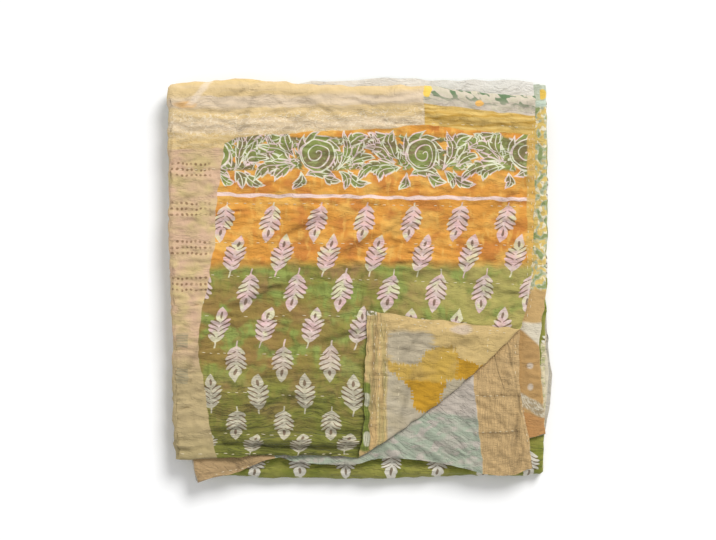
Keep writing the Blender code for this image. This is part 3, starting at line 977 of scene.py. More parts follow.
class Patchwork:
    """A cotton material that is painted patch by patch. x and y are the print's millimetres."""

    def __init__(self, name):
        self.material = bpy.data.materials.new(name)
        self.material.use_nodes = True
        self.tree = self.material.node_tree
        self.shader = self.tree.nodes["Principled BSDF"]
        self.shader.inputs["Roughness"].default_value = 0.92
        self.shader.inputs["Sheen Weight"].default_value = 0.15
        self.shader.inputs["Sheen Roughness"].default_value = 0.5
        self.shader.inputs["Specular IOR Level"].default_value = 0.2
        place = self.tree.nodes.new("ShaderNodeUVMap")
        place.uv_map = "print"
        x, y = self.split(place.outputs["UV"])
        self.x, self.y = x * 1000, y * 1000
        self.colour = None

    def joined(self, x, y, z=0.0):
        """These values as one vector."""
        join = self.tree.nodes.new("ShaderNodeCombineXYZ")
        self.tree.links.new(x.socket, join.inputs[0])
        self.tree.links.new(y.socket, join.inputs[1])
        join.inputs[2].default_value = z
        return join.outputs[0]

    def split(self, vector):
        """The vector's first two values."""
        split = self.tree.nodes.new("ShaderNodeSeparateXYZ")
        self.tree.links.new(vector, split.inputs[0])
        return Number(self.tree, split.outputs[0]), Number(self.tree, split.outputs[1])

    def mixed(self, low, high, share):
        """A colour that goes from low to high as the share goes from 0 to 1."""
        node = self.tree.nodes.new("ShaderNodeMix")
        node.data_type = "RGBA"
        self.tree.links.new(share.socket, node.inputs["Factor"])
        for entry, colour in ((node.inputs[6], low), (node.inputs[7], high)):
            if isinstance(colour, bpy.types.NodeSocket):
                self.tree.links.new(colour, entry)
            else:
                entry.default_value = linear(colour)
        return node.outputs[2]

    def layered(self, colour, *layers):
        """A colour with others laid over it in turn, each as far as its share says."""
        for over, share in layers:
            colour = self.mixed(colour, over, share)
        return colour

    def noise(self, size_x, size_y, seed, detail=2.0, x=None, y=None):
        """Soft noise from 0 to 1 in bumps of about this size, in millimetres."""
        node = self.tree.nodes.new("ShaderNodeTexNoise")
        node.inputs["Scale"].default_value = 1.0
        node.inputs["Detail"].default_value = detail
        place = self.joined((x or self.x) / size_x, (y or self.y) / size_y, seed)
        self.tree.links.new(place, node.inputs["Vector"])
        return Number(self.tree, node.outputs["Fac"])

    def sway(self, size_x, size_y, seed, reach, detail=2.0):
        """Soft noise from minus to plus this reach."""
        return self.noise(size_x, size_y, seed, detail).times_plus(2 * reach, -reach)

    def veins(self, size_x, size_y, seed, width, soft, detail=2.0, x=None, y=None):
        """Winding lines, 1 on a line and 0 off it."""
        return abs(self.noise(size_x, size_y, seed, detail, x, y) - 0.5).below(width, soft)

    def spot(self, x, y, radius_x, radius_y, edge=1.0, soft=0.4):
        """A soft oval round this place."""
        off_x, off_y = (self.x - x) / radius_x, (self.y - y) / radius_y
        return (off_x.squared() + off_y.squared()).below(edge, soft)

    def wrapped_round(self, vector, x, period):
        """The vector brought within half of the period left or right of x. Its other coordinates stay
        as they are, in a wide range."""
        node = self.tree.nodes.new("ShaderNodeVectorMath")
        node.operation = "WRAP"
        self.tree.links.new(vector, node.inputs[0])
        node.inputs[1].default_value = (x + period / 2, 500, 1)
        node.inputs[2].default_value = (x - period / 2, -500, -1)
        return node.outputs[0]

    def turned(self, vector, x, y, angle):
        """The vector's two coordinates from the point (x, y), along this angle and across it."""
        place = self.tree.nodes.new("ShaderNodeMapping")
        place.vector_type = "TEXTURE"
        place.inputs["Location"].default_value = (x, y, 0)
        place.inputs["Rotation"].default_value = (0, 0, angle)
        self.tree.links.new(vector, place.inputs["Vector"])
        return self.split(place.outputs[0])

    def curve(self, value, points, low=None, high=None):
        """A smooth curve through these points of value and result, drawn by a Float Curve node from
        low to high."""
        low = points[0][0] if low is None else low
        high = points[-1][0] if high is None else high
        bottom = min(result for _, result in points)
        rise = max(result for _, result in points) - bottom
        node = self.tree.nodes.new("ShaderNodeFloatCurve")
        self.tree.links.new(((value - low) / (high - low)).socket, node.inputs["Value"])
        shares = sorted(((at - low) / (high - low), (result - bottom) / rise) for at, result in points)
        line = node.mapping.curves[0]
        line.points[0].location, line.points[1].location = shares[0], shares[-1]
        for share in shares[1:-1]:
            line.points.new(*share)
        node.mapping.update()
        return Number(self.tree, node.outputs[0]).times_plus(rise, bottom)

    def finish(self, weave=0.35, coarse=0.0, creases=1.0, tucks=None):
        """Joins up the colour, with the weave and the small crinkles as bump, and with painted light on the
        crinkles and painted shade in the fine creases and the tucks. tucks is a patch's own
        relief, 0 in the cloth's plain parts and up to 1 in its deepest tucks."""
        crinkle = abs(self.noise(12, 5.2, 5) - 0.5) * 2.0
        across = abs(self.noise(5.5, 11, 6) - 0.5) * 2.0
        grain = self.noise(0.55, 0.55, 9)
        swayed = self.y + self.sway(45, 30, 19, 8, detail=1)
        fine = self.veins(17, 4.4, 15, 0.013, 0.075, detail=3, y=swayed)
        fine = fine * self.noise(26, 14, 16, 1).above(0.50, 0.2) * creases
        height = crinkle * 0.7 + across * 0.5 + grain * weave - fine * 0.6
        # Painted light on the crinkles' tops, the grain's own tone, and painted shade along the fine
        # creases.
        shade = crinkle.least(0.5) * 0.12 + grain * 0.14 - fine * 0.085
        if coarse:
            height = height + (self.noise(24, 1.3, 17, 1) + self.noise(1.3, 24, 18, 1)) * coarse
        # The tucks are bumped and get painted shade.
        if tucks is not None:
            height = height - tucks * TUCK_DEPTH
            shade = shade - tucks * TUCK_SHADE
        # Painted shade in the crinkles' creases and the wrinkles' troughs, read from the attribute that
        # raise_crinkles writes.
        painted_crease_shade = self.tree.nodes.new("ShaderNodeAttribute")
        painted_crease_shade.attribute_name = "painted_crease_shade"
        shade = shade - Number(self.tree, painted_crease_shade.outputs["Fac"]) * HOLLOW_SHADE
        bump = self.tree.nodes.new("ShaderNodeBump")
        bump.inputs["Strength"].default_value = 1.0
        bump.inputs["Distance"].default_value = BUMP_HEIGHT
        self.tree.links.new(height.socket, bump.inputs["Height"])
        self.tree.links.new(bump.outputs[0], self.shader.inputs["Normal"])
        # The colour, scaled by this painted light and shade.
        shaded = self.mixed((0, 0, 0), self.colour, shade + PLAIN_SHADE)
        self.tree.links.new(shaded, self.shader.inputs["Base Color"])
        return self.material


# The leaf print's rows: the leaves of odd rows hang from their stems, and those of even rows stand.
LEAF_ROWS = (
    # middle, first leaf's middle, lean to the right per millimetre up, stretch along
    (67.5, 5.2, 0.22, 1.00),
    (27.5, 17.0, 0.28, 1.00),
    (-10.0, -20.0, 0.22, 1.00),
    (-53.4, -1.0, 0.24, 0.97),
    (-89.9, 18.8, 0.07, 0.97),
    (-128.1, -9.0, -0.02, 0.95),
    (-159.6, 19.9, 0.00, 0.80),
    (-184.3, -14.6, 0.30, 0.50),
)
LEAF_SPACING = 52.8
LEAF_MIDDLE = 23.5
LEAF_STEM_END = 30.0
LOBES_BEGIN, LOBE_PITCH, LOBE_PAIRS = 6.0, 5.9, 4
LOBE_SWEEP = 0.62
LOBES_WIDEST, LOBE_REACH = 13.5, 12.2
TIP_MIDDLE, TIP_LENGTH, TIP_WIDTH = 37.5, 11.0, 6.9
DROP_LENGTH, DROP_WIDTH = 3.6, 1.6


def leaf(across, along):
    """A leaf of a block print: its mask and the mask of its dark lines. along runs from the end of the
    stem to the tip, and across from the midrib."""
    side = abs(across)
    swept = side.times_plus(-LOBE_SWEEP, along) - LOBES_BEGIN
    phase = (swept / LOBE_PITCH).math("FRACT") - 0.5
    bulge = (swept - LOBES_WIDEST).squared().times_plus(-0.024, LOBE_REACH)
    reach = bulge - phase * 2.2 - phase.squared() * 20.0
    lobes = side.below(reach, 0.7) * swept.between(0, LOBE_PITCH * LOBE_PAIRS)
    from_tip = abs(along - TIP_MIDDLE) / TIP_LENGTH
    end = side.below((from_tip * from_tip.times_plus(0.5, 0.5)).times_plus(-TIP_WIDTH, TIP_WIDTH), 0.7)
    stem = side.below(0.8) * along.between(0, LEAF_STEM_END, 0.8)
    slits = (abs(phase) + side * 0.011).above(0.42, 0.07) * side.above(1.2, 0.5)
    slits = slits * swept.between(2, LOBE_PITCH * (LOBE_PAIRS + 0.4)) * side.below(bulge - 1.5, 0.8)
    off_drop = (across / DROP_WIDTH).squared() + ((along - TIP_MIDDLE) / DROP_LENGTH).squared()
    return lobes.most(end).most(stem), slits.most(off_drop.below(1.0, 0.5))


def leaf_print(paint, rows, spacing, y=None):
    """Rows of leaves, as a mask for their colour and one for their dark lines."""
    x = paint.x + paint.sway(9, 9, 2, 0.8, detail=1)
    y = (y or paint.y) + paint.sway(11, 8, 4, 0.8, detail=1)
    leaves = []
    for first, up in ((0, -1), (1, 1)):
        chosen = rows[first::2]
        values = [paint.x * 0 + value for value in chosen[0]]
        for above, row in zip(chosen, chosen[1:]):
            under = y.below((above[0] + row[0]) / 2, 0.01)
            values = [under.times_plus(new - old, value) for new, old, value in zip(row, above, values)]
        middle, shift, lean, stretch = values
        rise = y - middle
        across = (x - shift - lean * rise).wrapped(spacing)
        leaves.append(leaf(across, rise * up / stretch + LEAF_MIDDLE))
    (hanging, hanging_dark), (standing, standing_dark) = leaves
    return hanging.most(standing), hanging_dark.most(standing_dark)


# The scroll border: one repeat of it. Its leaves grow round a spiral and sweep to both sides.
SCROLL_PERIOD = 118.0
SCROLL_X, SCROLL_Y = -48.3, 141.5
SCROLL_RADIUS = 17.5
SCROLL_TURN = 7.8
CROWN_RADIUS, CROWN_BOTTOM = 29.0, -12
LOBE_EVERY = 9.5
SCROLL_LEAVES = (
    # root x, root y, angle in degrees, length, half width, bend
    (-36, 22, 176, 24, 5.5, 5),
    (34, -8, 68, 34, 5.5, -6),
    (38, -12, 18, 26, 5.5, 6),
    (36, -18, 326, 28, 5.5, -6),
    (38, 4, 44, 26, 5.5, 6),
    (24, -16, 82, 44, 5.0, -7),
    (-30, -8, 128, 40, 6.5, 7),
    (-31, -9, 152, 40, 6.0, -7),
    (-32, -10, 180, 36, 5.5, 7),
    (-30, -12, 203, 46, 6.0, -8),
    (-26, -14, 214, 28, 5.5, -6),
    (-26, -4, 100, 32, 6.5, 7),
    (-20, -20, 256, 20, 4.5, 4),
    (-14, -22, 350, 36, 5.5, 7),
    (8, -22, 336, 20, 4.5, -4),
    (26, -18, 292, 20, 5.0, 4),
)


def scroll_leaf(paint, place, root_x, root_y, degrees, length, half_width, bend):
    """A pointed leaf with a lobed edge: the mask of its inside, and that of its outline and veins."""
    angle = math.radians(degrees)
    middle = root_x + math.cos(angle) * length / 2, root_y + math.sin(angle) * length / 2
    near = paint.wrapped_round(place, middle[0], SCROLL_PERIOD)
    along, across = paint.turned(near, *middle, angle)
    rise = (along / length).squared()
    side = abs(rise.times_plus(4 * bend, -bend) + across)
    teeth = side.times_plus(-0.05, along / LOBE_EVERY).math("FRACT")
    swell = rise.times_plus(-4 * half_width, half_width) * teeth.times_plus(0.36, 0.84)
    margin = swell - side
    inside = margin.above(0)
    notch = teeth.below(0.10, 0.06) * margin.below(2.4, 0.5)
    marks = notch.most(side.below(0.5, 0.4)) * inside
    return inside, abs(margin).below(0.9).most(marks)


def scroll_border(paint):
    """The scrolling border, as a mask for its leaves and one for their pale outlines."""
    x = paint.x + paint.sway(22, 22, 31, 3.5, detail=0) - SCROLL_X
    y = paint.y + paint.sway(22, 22, 33, 3.5, detail=0) - SCROLL_Y
    place = paint.joined(x, y)
    filled = y.between(-17, 21, 3) * paint.noise(17, 13, 37).above(0.44, 0.05)
    lines = filled * paint.veins(10, 8, 35, 0.024, 0.016, detail=1) * 0.9
    for each in SCROLL_LEAVES:
        inside, outline = scroll_leaf(paint, place, *each)
        filled = filled.most(inside)
        lines = (lines - inside).most(outline)
    x = x.wrapped(SCROLL_PERIOD)
    radius = (x.squared() + y.squared()).math("SQRT")
    angle = y.math("ARCTAN2", x) / (2 * math.pi)
    fingers = (angle * 9 + radius * 0.035).math("FRACT")
    crown_edge = fingers.times_plus(-6.0, CROWN_RADIUS) - abs(angle - 0.27) * 18
    upper = y.above(CROWN_BOTTOM)
    crown = radius.below(crown_edge) * upper
    crown_lines = abs(radius - crown_edge).below(0.8, 0.5) * upper
    crown_lines = crown_lines.most(fingers.below(0.12, 0.06) * crown)
    disc = radius.below(SCROLL_RADIUS)
    ring = abs(radius - SCROLL_RADIUS).below(0.9, 0.5)
    turn = abs((angle + radius / SCROLL_TURN).math("FRACT") - 0.5).below(0.085, 0.05) * disc
    lines = (lines - crown).most(crown_lines)
    return filled.most(crown).most(disc), (lines - disc).most(ring).most(turn)


# The seams of the printed panel: its left one as y and x, and its far one as x and y.
PANEL_LEFT = (
    (155, -153.0), (118, -157.5), (83, -161.5), (46, -162.5), (22, -167.5), (-12, -172.5), (-62, -181.3),
    (-84, -181.3), (-111, -176.5), (-158, -169.5), (-197, -161.0),
)
PANEL_TOP = (
    (-153, 155.7), (-116, 163.0), (-80, 165.5), (-22, 169.0), (44, 172.0), (72, 174.5), (119, 169.5),
    (198, 164.7),
)


# How mauve the striped band is, from 0 to 1, from near to far.
STRIPES = (
    (140, 0.2), (150, 0.3), (158, 0.1), (168, 0.35), (176, 0.75), (184, 0.55), (190, 0.2), (196, 0.35),
    (203, 1.0), (209, 0.75), (213, 0.15), (219, 0.3), (224, 0.05), (230, 0.2),
)


def striped_band(paint):
    """Straw-coloured band with soft mauve stripes and a lacy scribble."""
    tilt = paint.y - paint.x * 0.02 + paint.sway(60, 18, 41, 5)
    stripes = paint.curve(tilt, STRIPES) + paint.noise(90, 3.6, 43).times_plus(1.1, -0.55)
    scribble = paint.veins(7, 5, 45, 0.022, 0.02, detail=1.5) * tilt.between(166, 192, 5)
    faint = paint.veins(10, 6, 47, 0.02, 0.02) * tilt.below(172, 8)
    streak = abs((paint.y - 209) * 0.70 - (paint.x + 182) * 0.75).below(3.2, 2.5)
    return paint.layered(
        (0.85, 0.74, 0.52),
        ((0.85, 0.77, 0.66), stripes.math("ADD", 0.0, clamp=True)),
        ((0.92, 0.855, 0.74), scribble * 0.75),
        ((0.80, 0.66, 0.42), faint * 0.5),
        ((0.90, 0.70, 0.42), paint.spot(-197, 198, 14, 5, 0.7, 1.1) * 0.8),
        ((0.92, 0.85, 0.76), streak * paint.y.between(197, 222, 4) * 0.6),
    )


# The dotted strip: the middles of its groups of dots and of its two hatched squares.
DOT_GROUPS = (124.8, 80.4, 37.1, -3.9)
DOT_STEP_X, DOT_STEP_Y = 5.3, 6.4
DOT_RADIUS = 1.45
FAR_OFF = 9
SQUARES_X, SQUARES_Y = -200, (-68.0, -107.0)


def dotted_strip(paint):
    """Peach strip with groups of three rows of small dots, plain tan at its near end."""
    cloud = paint.noise(24, 18, 51)
    near = paint.mixed((0.69, 0.62, 0.45), (0.73, 0.65, 0.49), cloud)
    off_rows = []
    for middle in DOT_GROUPS:
        inside = abs(paint.y - middle).below(1.5 * DOT_STEP_Y, 0.5)
        phase = (paint.y - middle).wrapped(DOT_STEP_Y) * inside
        off_rows.append(abs(phase + inside.inverted() * FAR_OFF))
    off_row = functools.reduce(Number.least, off_rows)
    off_dot = (off_row * off_row + (paint.x + 216).wrapped(DOT_STEP_X).squared()).math("SQRT")
    dots = off_dot.below(DOT_RADIUS, 0.8) * paint.noise(12, 7, 53).above(0.38, 0.2)
    dots = dots * paint.x.below(-168, 6) * paint.x.above(-213, 3)
    side = abs(paint.x - SQUARES_X).below(6.5, 0.8)
    squares = functools.reduce(Number.most, [side * abs(paint.y - y).below(8.5, 0.8) for y in SQUARES_Y])
    hatch = abs((paint.y / 3.1).math("FRACT") - 0.5).above(0.2, 0.2)
    return paint.layered(
        (0.825, 0.69, 0.57),
        ((0.81, 0.72, 0.52), cloud.above(0.52, 0.25)),
        (near, paint.y.below(-85, 60)),
        ((0.65, 0.59, 0.42), paint.y.below(-178, 24) * 0.7),
        ((0.53, 0.41, 0.29), dots * 0.85),
        ((0.62, 0.58, 0.46), squares * hatch.times_plus(0.45, 0.35)),
    )


def printed_panel(paint, colours):
    """The printed panel's dyed ground, orange far and olive near, with the pale rule across it."""
    cloud, spots, streak = paint.noise(30, 26, 61, 3), paint.noise(26, 24, 63), paint.noise(7, 20, 64)
    orange = paint.layered(
        (0.89, 0.68, 0.34),
        (tuple(colours.orange), cloud.above(0.46, 0.12)),
        ((0.78, 0.50, 0.23), spots.above(0.56, 0.14) * 0.9),
        ((0.90, 0.70, 0.36), streak.above(0.62, 0.12) * 0.7),
    )
    rust = paint.x.below(-40, 110) * paint.y.between(-108, -12, 30) * spots.below(0.53, 0.1)
    edge = paint.y + paint.sway(40, 30, 65, 11) - paint.x * 0.012
    rule = abs(paint.y + paint.x * 0.016 - 94.5 + paint.sway(60, 60, 83, 2.5))
    return paint.layered(
        (0.60, 0.49, 0.31),
        (tuple(colours.olive), cloud.above(0.47, 0.2)),
        ((0.56, 0.62, 0.32), spots.above(0.55, 0.14) * paint.y.above(-110, 60) * 0.85),
        ((0.60, 0.54, 0.28), streak.below(0.40, 0.12) * 0.6),
        ((0.42, 0.43, 0.19), streak.above(0.60, 0.12) * 0.5),
        ((0.71, 0.67, 0.39), paint.x.above(60, 90) * spots.below(0.56, 0.2) * 0.8),
        ((0.585, 0.47, 0.26), rust * 0.75),
        ((0.44, 0.45, 0.19), paint.y.below(-140, 80) * 0.85),
        (orange, edge.above(19, 11)),
        ((0.93, 0.82, 0.78), rule.below(1.9, 0.7)),
    )


def seam(paint):
    """How far a hand-sewn seam strays to each side."""
    return paint.sway(16, 16, 79, 1.2)


def right_of_strip(paint):
    """1 right of the seam between the dotted strip and the printed panel."""
    return paint.x.above(paint.curve(paint.y, PANEL_LEFT, -200, 160) + seam(paint), 0.8)


# The yellowed hem along the right of the top layer.
HEM_COLOUR, HEM_FROM, HEM_SHARE = (0.84, 0.68, 0.36), 188, 0.85


def far_patches_material(colours):
    """Front of the top layer, far part: the striped band, the floral and golden strips, and the panel's
    scroll border."""
    paint = Patchwork("far_patches_cotton")
    filled, lines = scroll_border(paint)
    green = paint.layered(
        (0.50, 0.45, 0.31),
        ((0.52, 0.56, 0.30), paint.noise(28, 20, 81).above(0.5, 0.15)),
        ((0.62, 0.66, 0.42), paint.noise(7, 5, 86).above(0.58, 0.1) * 0.7),
    )
    pale = paint.mixed((0.93, 0.82, 0.82), (0.92, 0.92, 0.82), paint.noise(12, 12, 85).above(0.5, 0.15))
    ground = paint.layered(
        printed_panel(paint, colours),
        (green, filled),
        (pale, lines * paint.noise(6, 6, 82).times_plus(0.5, 0.58)),
    )
    panel_top = paint.curve(paint.x, PANEL_TOP, -155, 200) + seam(paint)
    panel = right_of_strip(paint) * paint.y.below(panel_top, 0.8)
    floral = paint.noise(11, 5, 75, 1, y=paint.y + paint.x * 0.35)
    far_edge = (paint.y + paint.x * 0.10).above(214, 10)
    flowers = paint.layered(
        (0.81, 0.76, 0.69),
        ((0.36, 0.47, 0.32), floral.above(0.53, 0.07) * far_edge * 0.95),
        ((0.76, 0.74, 0.63), floral.below(0.42, 0.2) * 0.7),
        ((0.93, 0.72, 0.40), paint.spot(135, 199, 4.5, 3.5, soft=0.5)),
        ((0.92, 0.78, 0.36), paint.spot(76, 212, 5, 5)),
    )
    golden = paint.mixed((0.75, 0.59, 0.26), (0.87, 0.745, 0.45), paint.noise(40, 3.4, 77).above(0.48, 0.3))
    right = paint.x.above(71.9, 1.0)
    paint.colour = paint.layered(
        striped_band(paint),
        (dotted_strip(paint), (paint.y + paint.sway(20, 20, 73, 1.5)).below(148.5, 2.0)),
        (flowers, right),
        (golden, right * (paint.y + paint.x * 0.112).below(207.1, 1.2)),
        (ground, panel),
        (HEM_COLOUR, paint.x.above(HEM_FROM, 1.5) * paint.y.below(165, 2) * HEM_SHARE),
    )
    return paint.finish()


def leaf_print_material(colours):
    """Front of the top layer, near part: the panel's rows of leaves and the dotted strip."""
    paint = Patchwork("leaf_print_cotton")
    bodies, darks = leaf_print(paint, LEAF_ROWS, LEAF_SPACING)
    tint = paint.noise(17, 15, 71, 1)
    pale = paint.layered(
        (0.89, 0.75, 0.75),
        (tuple(colours.leaf), tint.above(0.45, 0.1)),
        ((0.88, 0.86, 0.72), tint.above(0.58, 0.08)),
        ((0.80, 0.77, 0.68), paint.y.below(-80, 60)),
    )
    printed = paint.y.below(88, 1)
    worn = paint.noise(5, 4, 84).times_plus(0.9, 0.42).least(1.0)
    ground = paint.layered(
        printed_panel(paint, colours),
        (pale, bodies * printed * worn),
        ((0.46, 0.36, 0.27), darks * printed * 0.85),
    )
    panel = right_of_strip(paint)
    paint.colour = paint.layered(
        dotted_strip(paint),
        (ground, panel),
        (HEM_COLOUR, paint.x.above(HEM_FROM, 1.5) * paint.y.above(18, 8) * HEM_SHARE),
    )
    # Tucks across the near part, which finish bumps and darkens with painted shade.
    bent = paint.y + paint.sway(60, 60, 87, 12, detail=0)
    tucks = paint.veins(34, 4.4, 88, 0.012, 0.045, y=bent) * paint.noise(30, 9, 89, 1).above(0.45, 0.15)
    tucks = tucks * 1.3 * paint.y.below(-110, 60).times_plus(0.75, 0.25)
    long_tucks = paint.veins(85, 6.5, 90, 0.01, 0.03, detail=1, y=bent) * paint.y.below(-135, 40) * 1.1
    return paint.finish(tucks=tucks.most(long_tucks) * panel)


# The far and the near edge of the turned corner's mustard zigzag: x and y.
MUSTARD_FAR = ((30, -90), (44, -94), (60, -96), (74, -81), (89, -74), (114, -86), (138, -98))
MUSTARD_NEAR = (
    (30, -99), (42, -107), (56, -124), (70, -149), (90, -134), (101, -111), (118, -111), (138, -98),
)
ZIGZAG_STEP = 3.4


def turned_corner_material(colours):
    """Back of the top layer, which its turned corner shows."""
    paint = Patchwork("turned_corner_cotton")
    cloud = paint.noise(26, 20, 101)
    tan_cloth = paint.mixed((0.76, 0.655, 0.42), (0.80, 0.695, 0.48), cloud)
    grey = paint.mixed((0.69, 0.64, 0.53), (0.725, 0.68, 0.585), cloud.above(0.5, 0.3))
    blue_x, blue_y = (paint.x - 54) / 30, (paint.y + 73) / 22
    blue = blue_x * blue_x + blue_y * blue_y + paint.sway(14, 3, 103, 0.8)
    stepped = (paint.x / ZIGZAG_STEP).math("ROUND") * ZIGZAG_STEP + paint.sway(40, 1.8, 105, 6, detail=1)
    far_edge, near_edge = paint.curve(stepped, MUSTARD_FAR), paint.curve(stepped, MUSTARD_NEAR)
    spiked = paint.y + paint.sway(2.6, 30, 110, 7, detail=1)
    mustard = spiked.below(far_edge, 1.2) * spiked.above(near_edge, 1.2) * paint.x.above(31, 1.5)
    deep = (paint.y + paint.sway(16, 8, 106, 6)).below(-113, 3).most(stepped.above(109, 2))
    zigzag = paint.layered(
        (0.76, 0.625, 0.29),
        ((0.735, 0.61, 0.33), cloud.above(0.5, 0.2)),
        ((0.74, 0.56, 0.16), deep),
    )
    band = paint.mixed((0.80, 0.67, 0.46), (0.75, 0.68, 0.46), paint.noise(6, 50, 107).above(0.5, 0.3))
    hem = paint.x.below(30, 3)
    stray = paint.sway(10, 14, 111, 4.5, detail=1)
    rolled = (paint.x + stray).below(10.5, 1) * (paint.y + stray).between(-192, -116, 3)
    blot_x, blot_y = (paint.x - 8) / 5, (paint.y + 134).wrapped(44) / 8
    blots = (blot_x * blot_x + blot_y * blot_y).below(1, 0.4)
    print_end = paint.mixed((0.86, 0.82, 0.76), (0.52, 0.50, 0.34), paint.noise(3, 3, 109).above(0.52, 0.1))
    paint.colour = paint.layered(
        tan_cloth,
        (grey, (paint.y + paint.sway(9, 9, 104, 7)).below(-98, 4)),
        ((0.71, 0.66, 0.56), blue.below(1.0, 0.5)),
        (zigzag, mustard),
        ((0.81, 0.70, 0.48), (paint.y + paint.x * 0.05).above(-54, 6)),
        ((0.80, 0.72, 0.63), paint.spot(114, -55, 13, 6, 0.8, 0.8) * 0.9),
        (band, hem),
        ((0.46, 0.50, 0.22), rolled),
        ((0.75, 0.74, 0.63), rolled * blots),
        (print_end, paint.x.below(19, 1) * paint.y.above(-39, 1)),
    )
    # Tucks along the hem, which finish bumps and darkens with painted shade.
    tucks = paint.veins(5, 60, 108, 0.02, 0.06, detail=1) * hem * 0.8
    return paint.finish(weave=0.4, coarse=0.35, tucks=tucks)


def second_layer_material(colours):
    """Back of the second layer, which shows under the turned corner."""
    paint = Patchwork("second_layer_cotton")
    cloud = paint.noise(34, 22, 121)
    lilac = paint.mixed((0.76, 0.715, 0.67), (0.73, 0.69, 0.63), cloud)
    sea = paint.layered(
        (0.69, 0.68, 0.62),
        ((0.645, 0.68, 0.60), paint.noise(30, 12, 123).above(0.47, 0.12)),
        ((0.73, 0.70, 0.65), paint.noise(15, 9, 124, 1).above(0.57, 0.1)),
    )
    gauze = paint.mixed((0.81, 0.685, 0.49), (0.77, 0.645, 0.45), cloud)
    gauze_edge = paint.x + paint.y * 0.10 + paint.sway(20, 20, 127, 1.5)
    on_gauze = gauze_edge.above(118, 1)
    tan = paint.mixed((0.70, 0.59, 0.42), (0.74, 0.62, 0.46), cloud)
    seams = abs(paint.y + 130).below(0.8, 0.8).most(abs(paint.y + 171).below(0.8, 0.8))
    paint.colour = paint.layered(
        lilac,
        (sea, (paint.y + paint.sway(50, 30, 125, 8)).below(-150, 8)),
        (gauze, gauze_edge.above(117, 1.2)),
        (tan, (paint.x + paint.y * 0.4).below(-176, 1.5)),
        ((0.60, 0.49, 0.33), seams * on_gauze * 0.4),
    )
    # The gauze's ribs, the right hem, the pleat and the slanting folds, which finish bumps and darkens with
    # painted shade.
    ribs = paint.veins(2.6, 34, 129, 0.03, 0.07, detail=1) * 0.6
    ribs = ribs.most(paint.veins(16, 2.6, 130, 0.02, 0.06, detail=1) * 0.45) * on_gauze
    right_hem = abs(paint.x + paint.y * 0.20 - 151).below(1.2, 1.5)
    pleat = abs(paint.x + paint.y * 0.22 - 133.5 + paint.sway(30, 30, 131, 2)).below(0.6, 0.8)
    slanted = {"x": paint.x - paint.y * 0.65, "y": paint.y + paint.x * 0.65}
    folds = paint.veins(46, 5, 132, 0.01, 0.04, detail=1, **slanted)
    folds = folds * paint.noise(24, 18, 133, 1).above(0.46, 0.12) * gauze_edge.below(116, 1)
    tucks = ribs.most(right_hem).most(pleat * paint.y.above(-124, 3)).most(folds)
    return paint.finish(weave=0.45, coarse=0.6, tucks=tucks)


def right_edge_material(colours):
    """Front of the third layer, which shows along the right of the bundle."""
    paint = Patchwork("right_edge_cotton")
    cells = paint.noise(8, 9, 141, 1)
    tan = paint.mixed((0.72, 0.575, 0.365), (0.68, 0.54, 0.35), paint.noise(20, 20, 144))
    dot_x, dot_y = (paint.x - 191.5) / 3.4, (paint.y + 96).wrapped(23.5) / 3.4
    dots = (dot_x * dot_x + dot_y * dot_y).below(1, 1.3) * paint.y.between(-128, -84, 2)
    feather = paint.noise(2.2, 5, 143, 1, x=paint.x + paint.y * 0.5).above(0.5, 0.15)
    pale = paint.mixed((0.64, 0.57, 0.45), (0.77, 0.73, 0.64), feather)
    paint.colour = paint.layered(
        (0.84, 0.73, 0.42),
        ((0.69, 0.71, 0.60), cells.above(0.50, 0.08)),
        ((0.90, 0.86, 0.74), paint.noise(5, 7, 142, 1).above(0.58, 0.08)),
        ((0.56, 0.61, 0.40), cells.above(0.59, 0.06)),
        ((0.72, 0.77, 0.70), paint.y.above(196, 2)),
        ((0.90, 0.76, 0.36), paint.spot(206, 210, 4, 6)),
        ((0.76, 0.63, 0.42), paint.y.below(-10, 3)),
        ((0.83, 0.79, 0.70), paint.y.below(-47, 3)),
        (tan, (paint.y + paint.x * 0.9).below(108, 4) * paint.y.below(-52, 2)),
        ((0.81, 0.75, 0.67), dots * 0.9),
        (pale, (paint.y + paint.x * 0.5).between(-52, -36, 3)),
        ((0.71, 0.53, 0.33), (paint.y + paint.x * 0.25).below(-103, 2)),
    )
    return paint.finish()


# The leaves of the near strip: rows this far apart, the first hanging and the next standing.
STRIP_ROW_STEP = 44.0
STRIP_SPACING = 51.6
STRIP_MIDDLE = -204.2
HANGING_ROW, STANDING_ROW = (-16.3, 0.0, 0.7), (10.1, 0.0, 1.0)
STRIP_ROWS = (
    (0.0, *HANGING_ROW),
    (STRIP_ROW_STEP, *STANDING_ROW),
    (0.0, *HANGING_ROW),
    (-STRIP_ROW_STEP, *STANDING_ROW),
)


def leaf_strip_material(colours):
    """Front of the fourth layer: the same leaf print, which shows at the near side and beneath."""
    paint = Patchwork("leaf_strip_cotton")
    repeat = (paint.y - STRIP_MIDDLE).wrapped(2 * STRIP_ROW_STEP)
    bodies, darks = leaf_print(paint, STRIP_ROWS, STRIP_SPACING, y=repeat)
    ruffle = paint.mixed((0.84, 0.79, 0.66), (0.72, 0.71, 0.52), paint.noise(4, 6, 165).above(0.52, 0.1))
    paint.colour = paint.layered(
        (0.57, 0.56, 0.27),
        ((0.49, 0.51, 0.21), paint.noise(26, 20, 161, 3).above(0.5, 0.2)),
        ((0.56, 0.56, 0.26), paint.noise(14, 12, 163).above(0.58, 0.12)),
        ((0.86, 0.84, 0.78), bodies),
        ((0.44, 0.36, 0.26), darks * 0.85),
        (ruffle, paint.x.above(203.5, 1) * paint.y.between(-166, -70, 3)),
    )
    # Tucks, which finish bumps and darkens with painted shade.
    tucks = paint.veins(32, 4.2, 166, 0.012, 0.045) * paint.noise(26, 9, 167, 1).above(0.45, 0.15)
    return paint.finish(tucks=tucks)


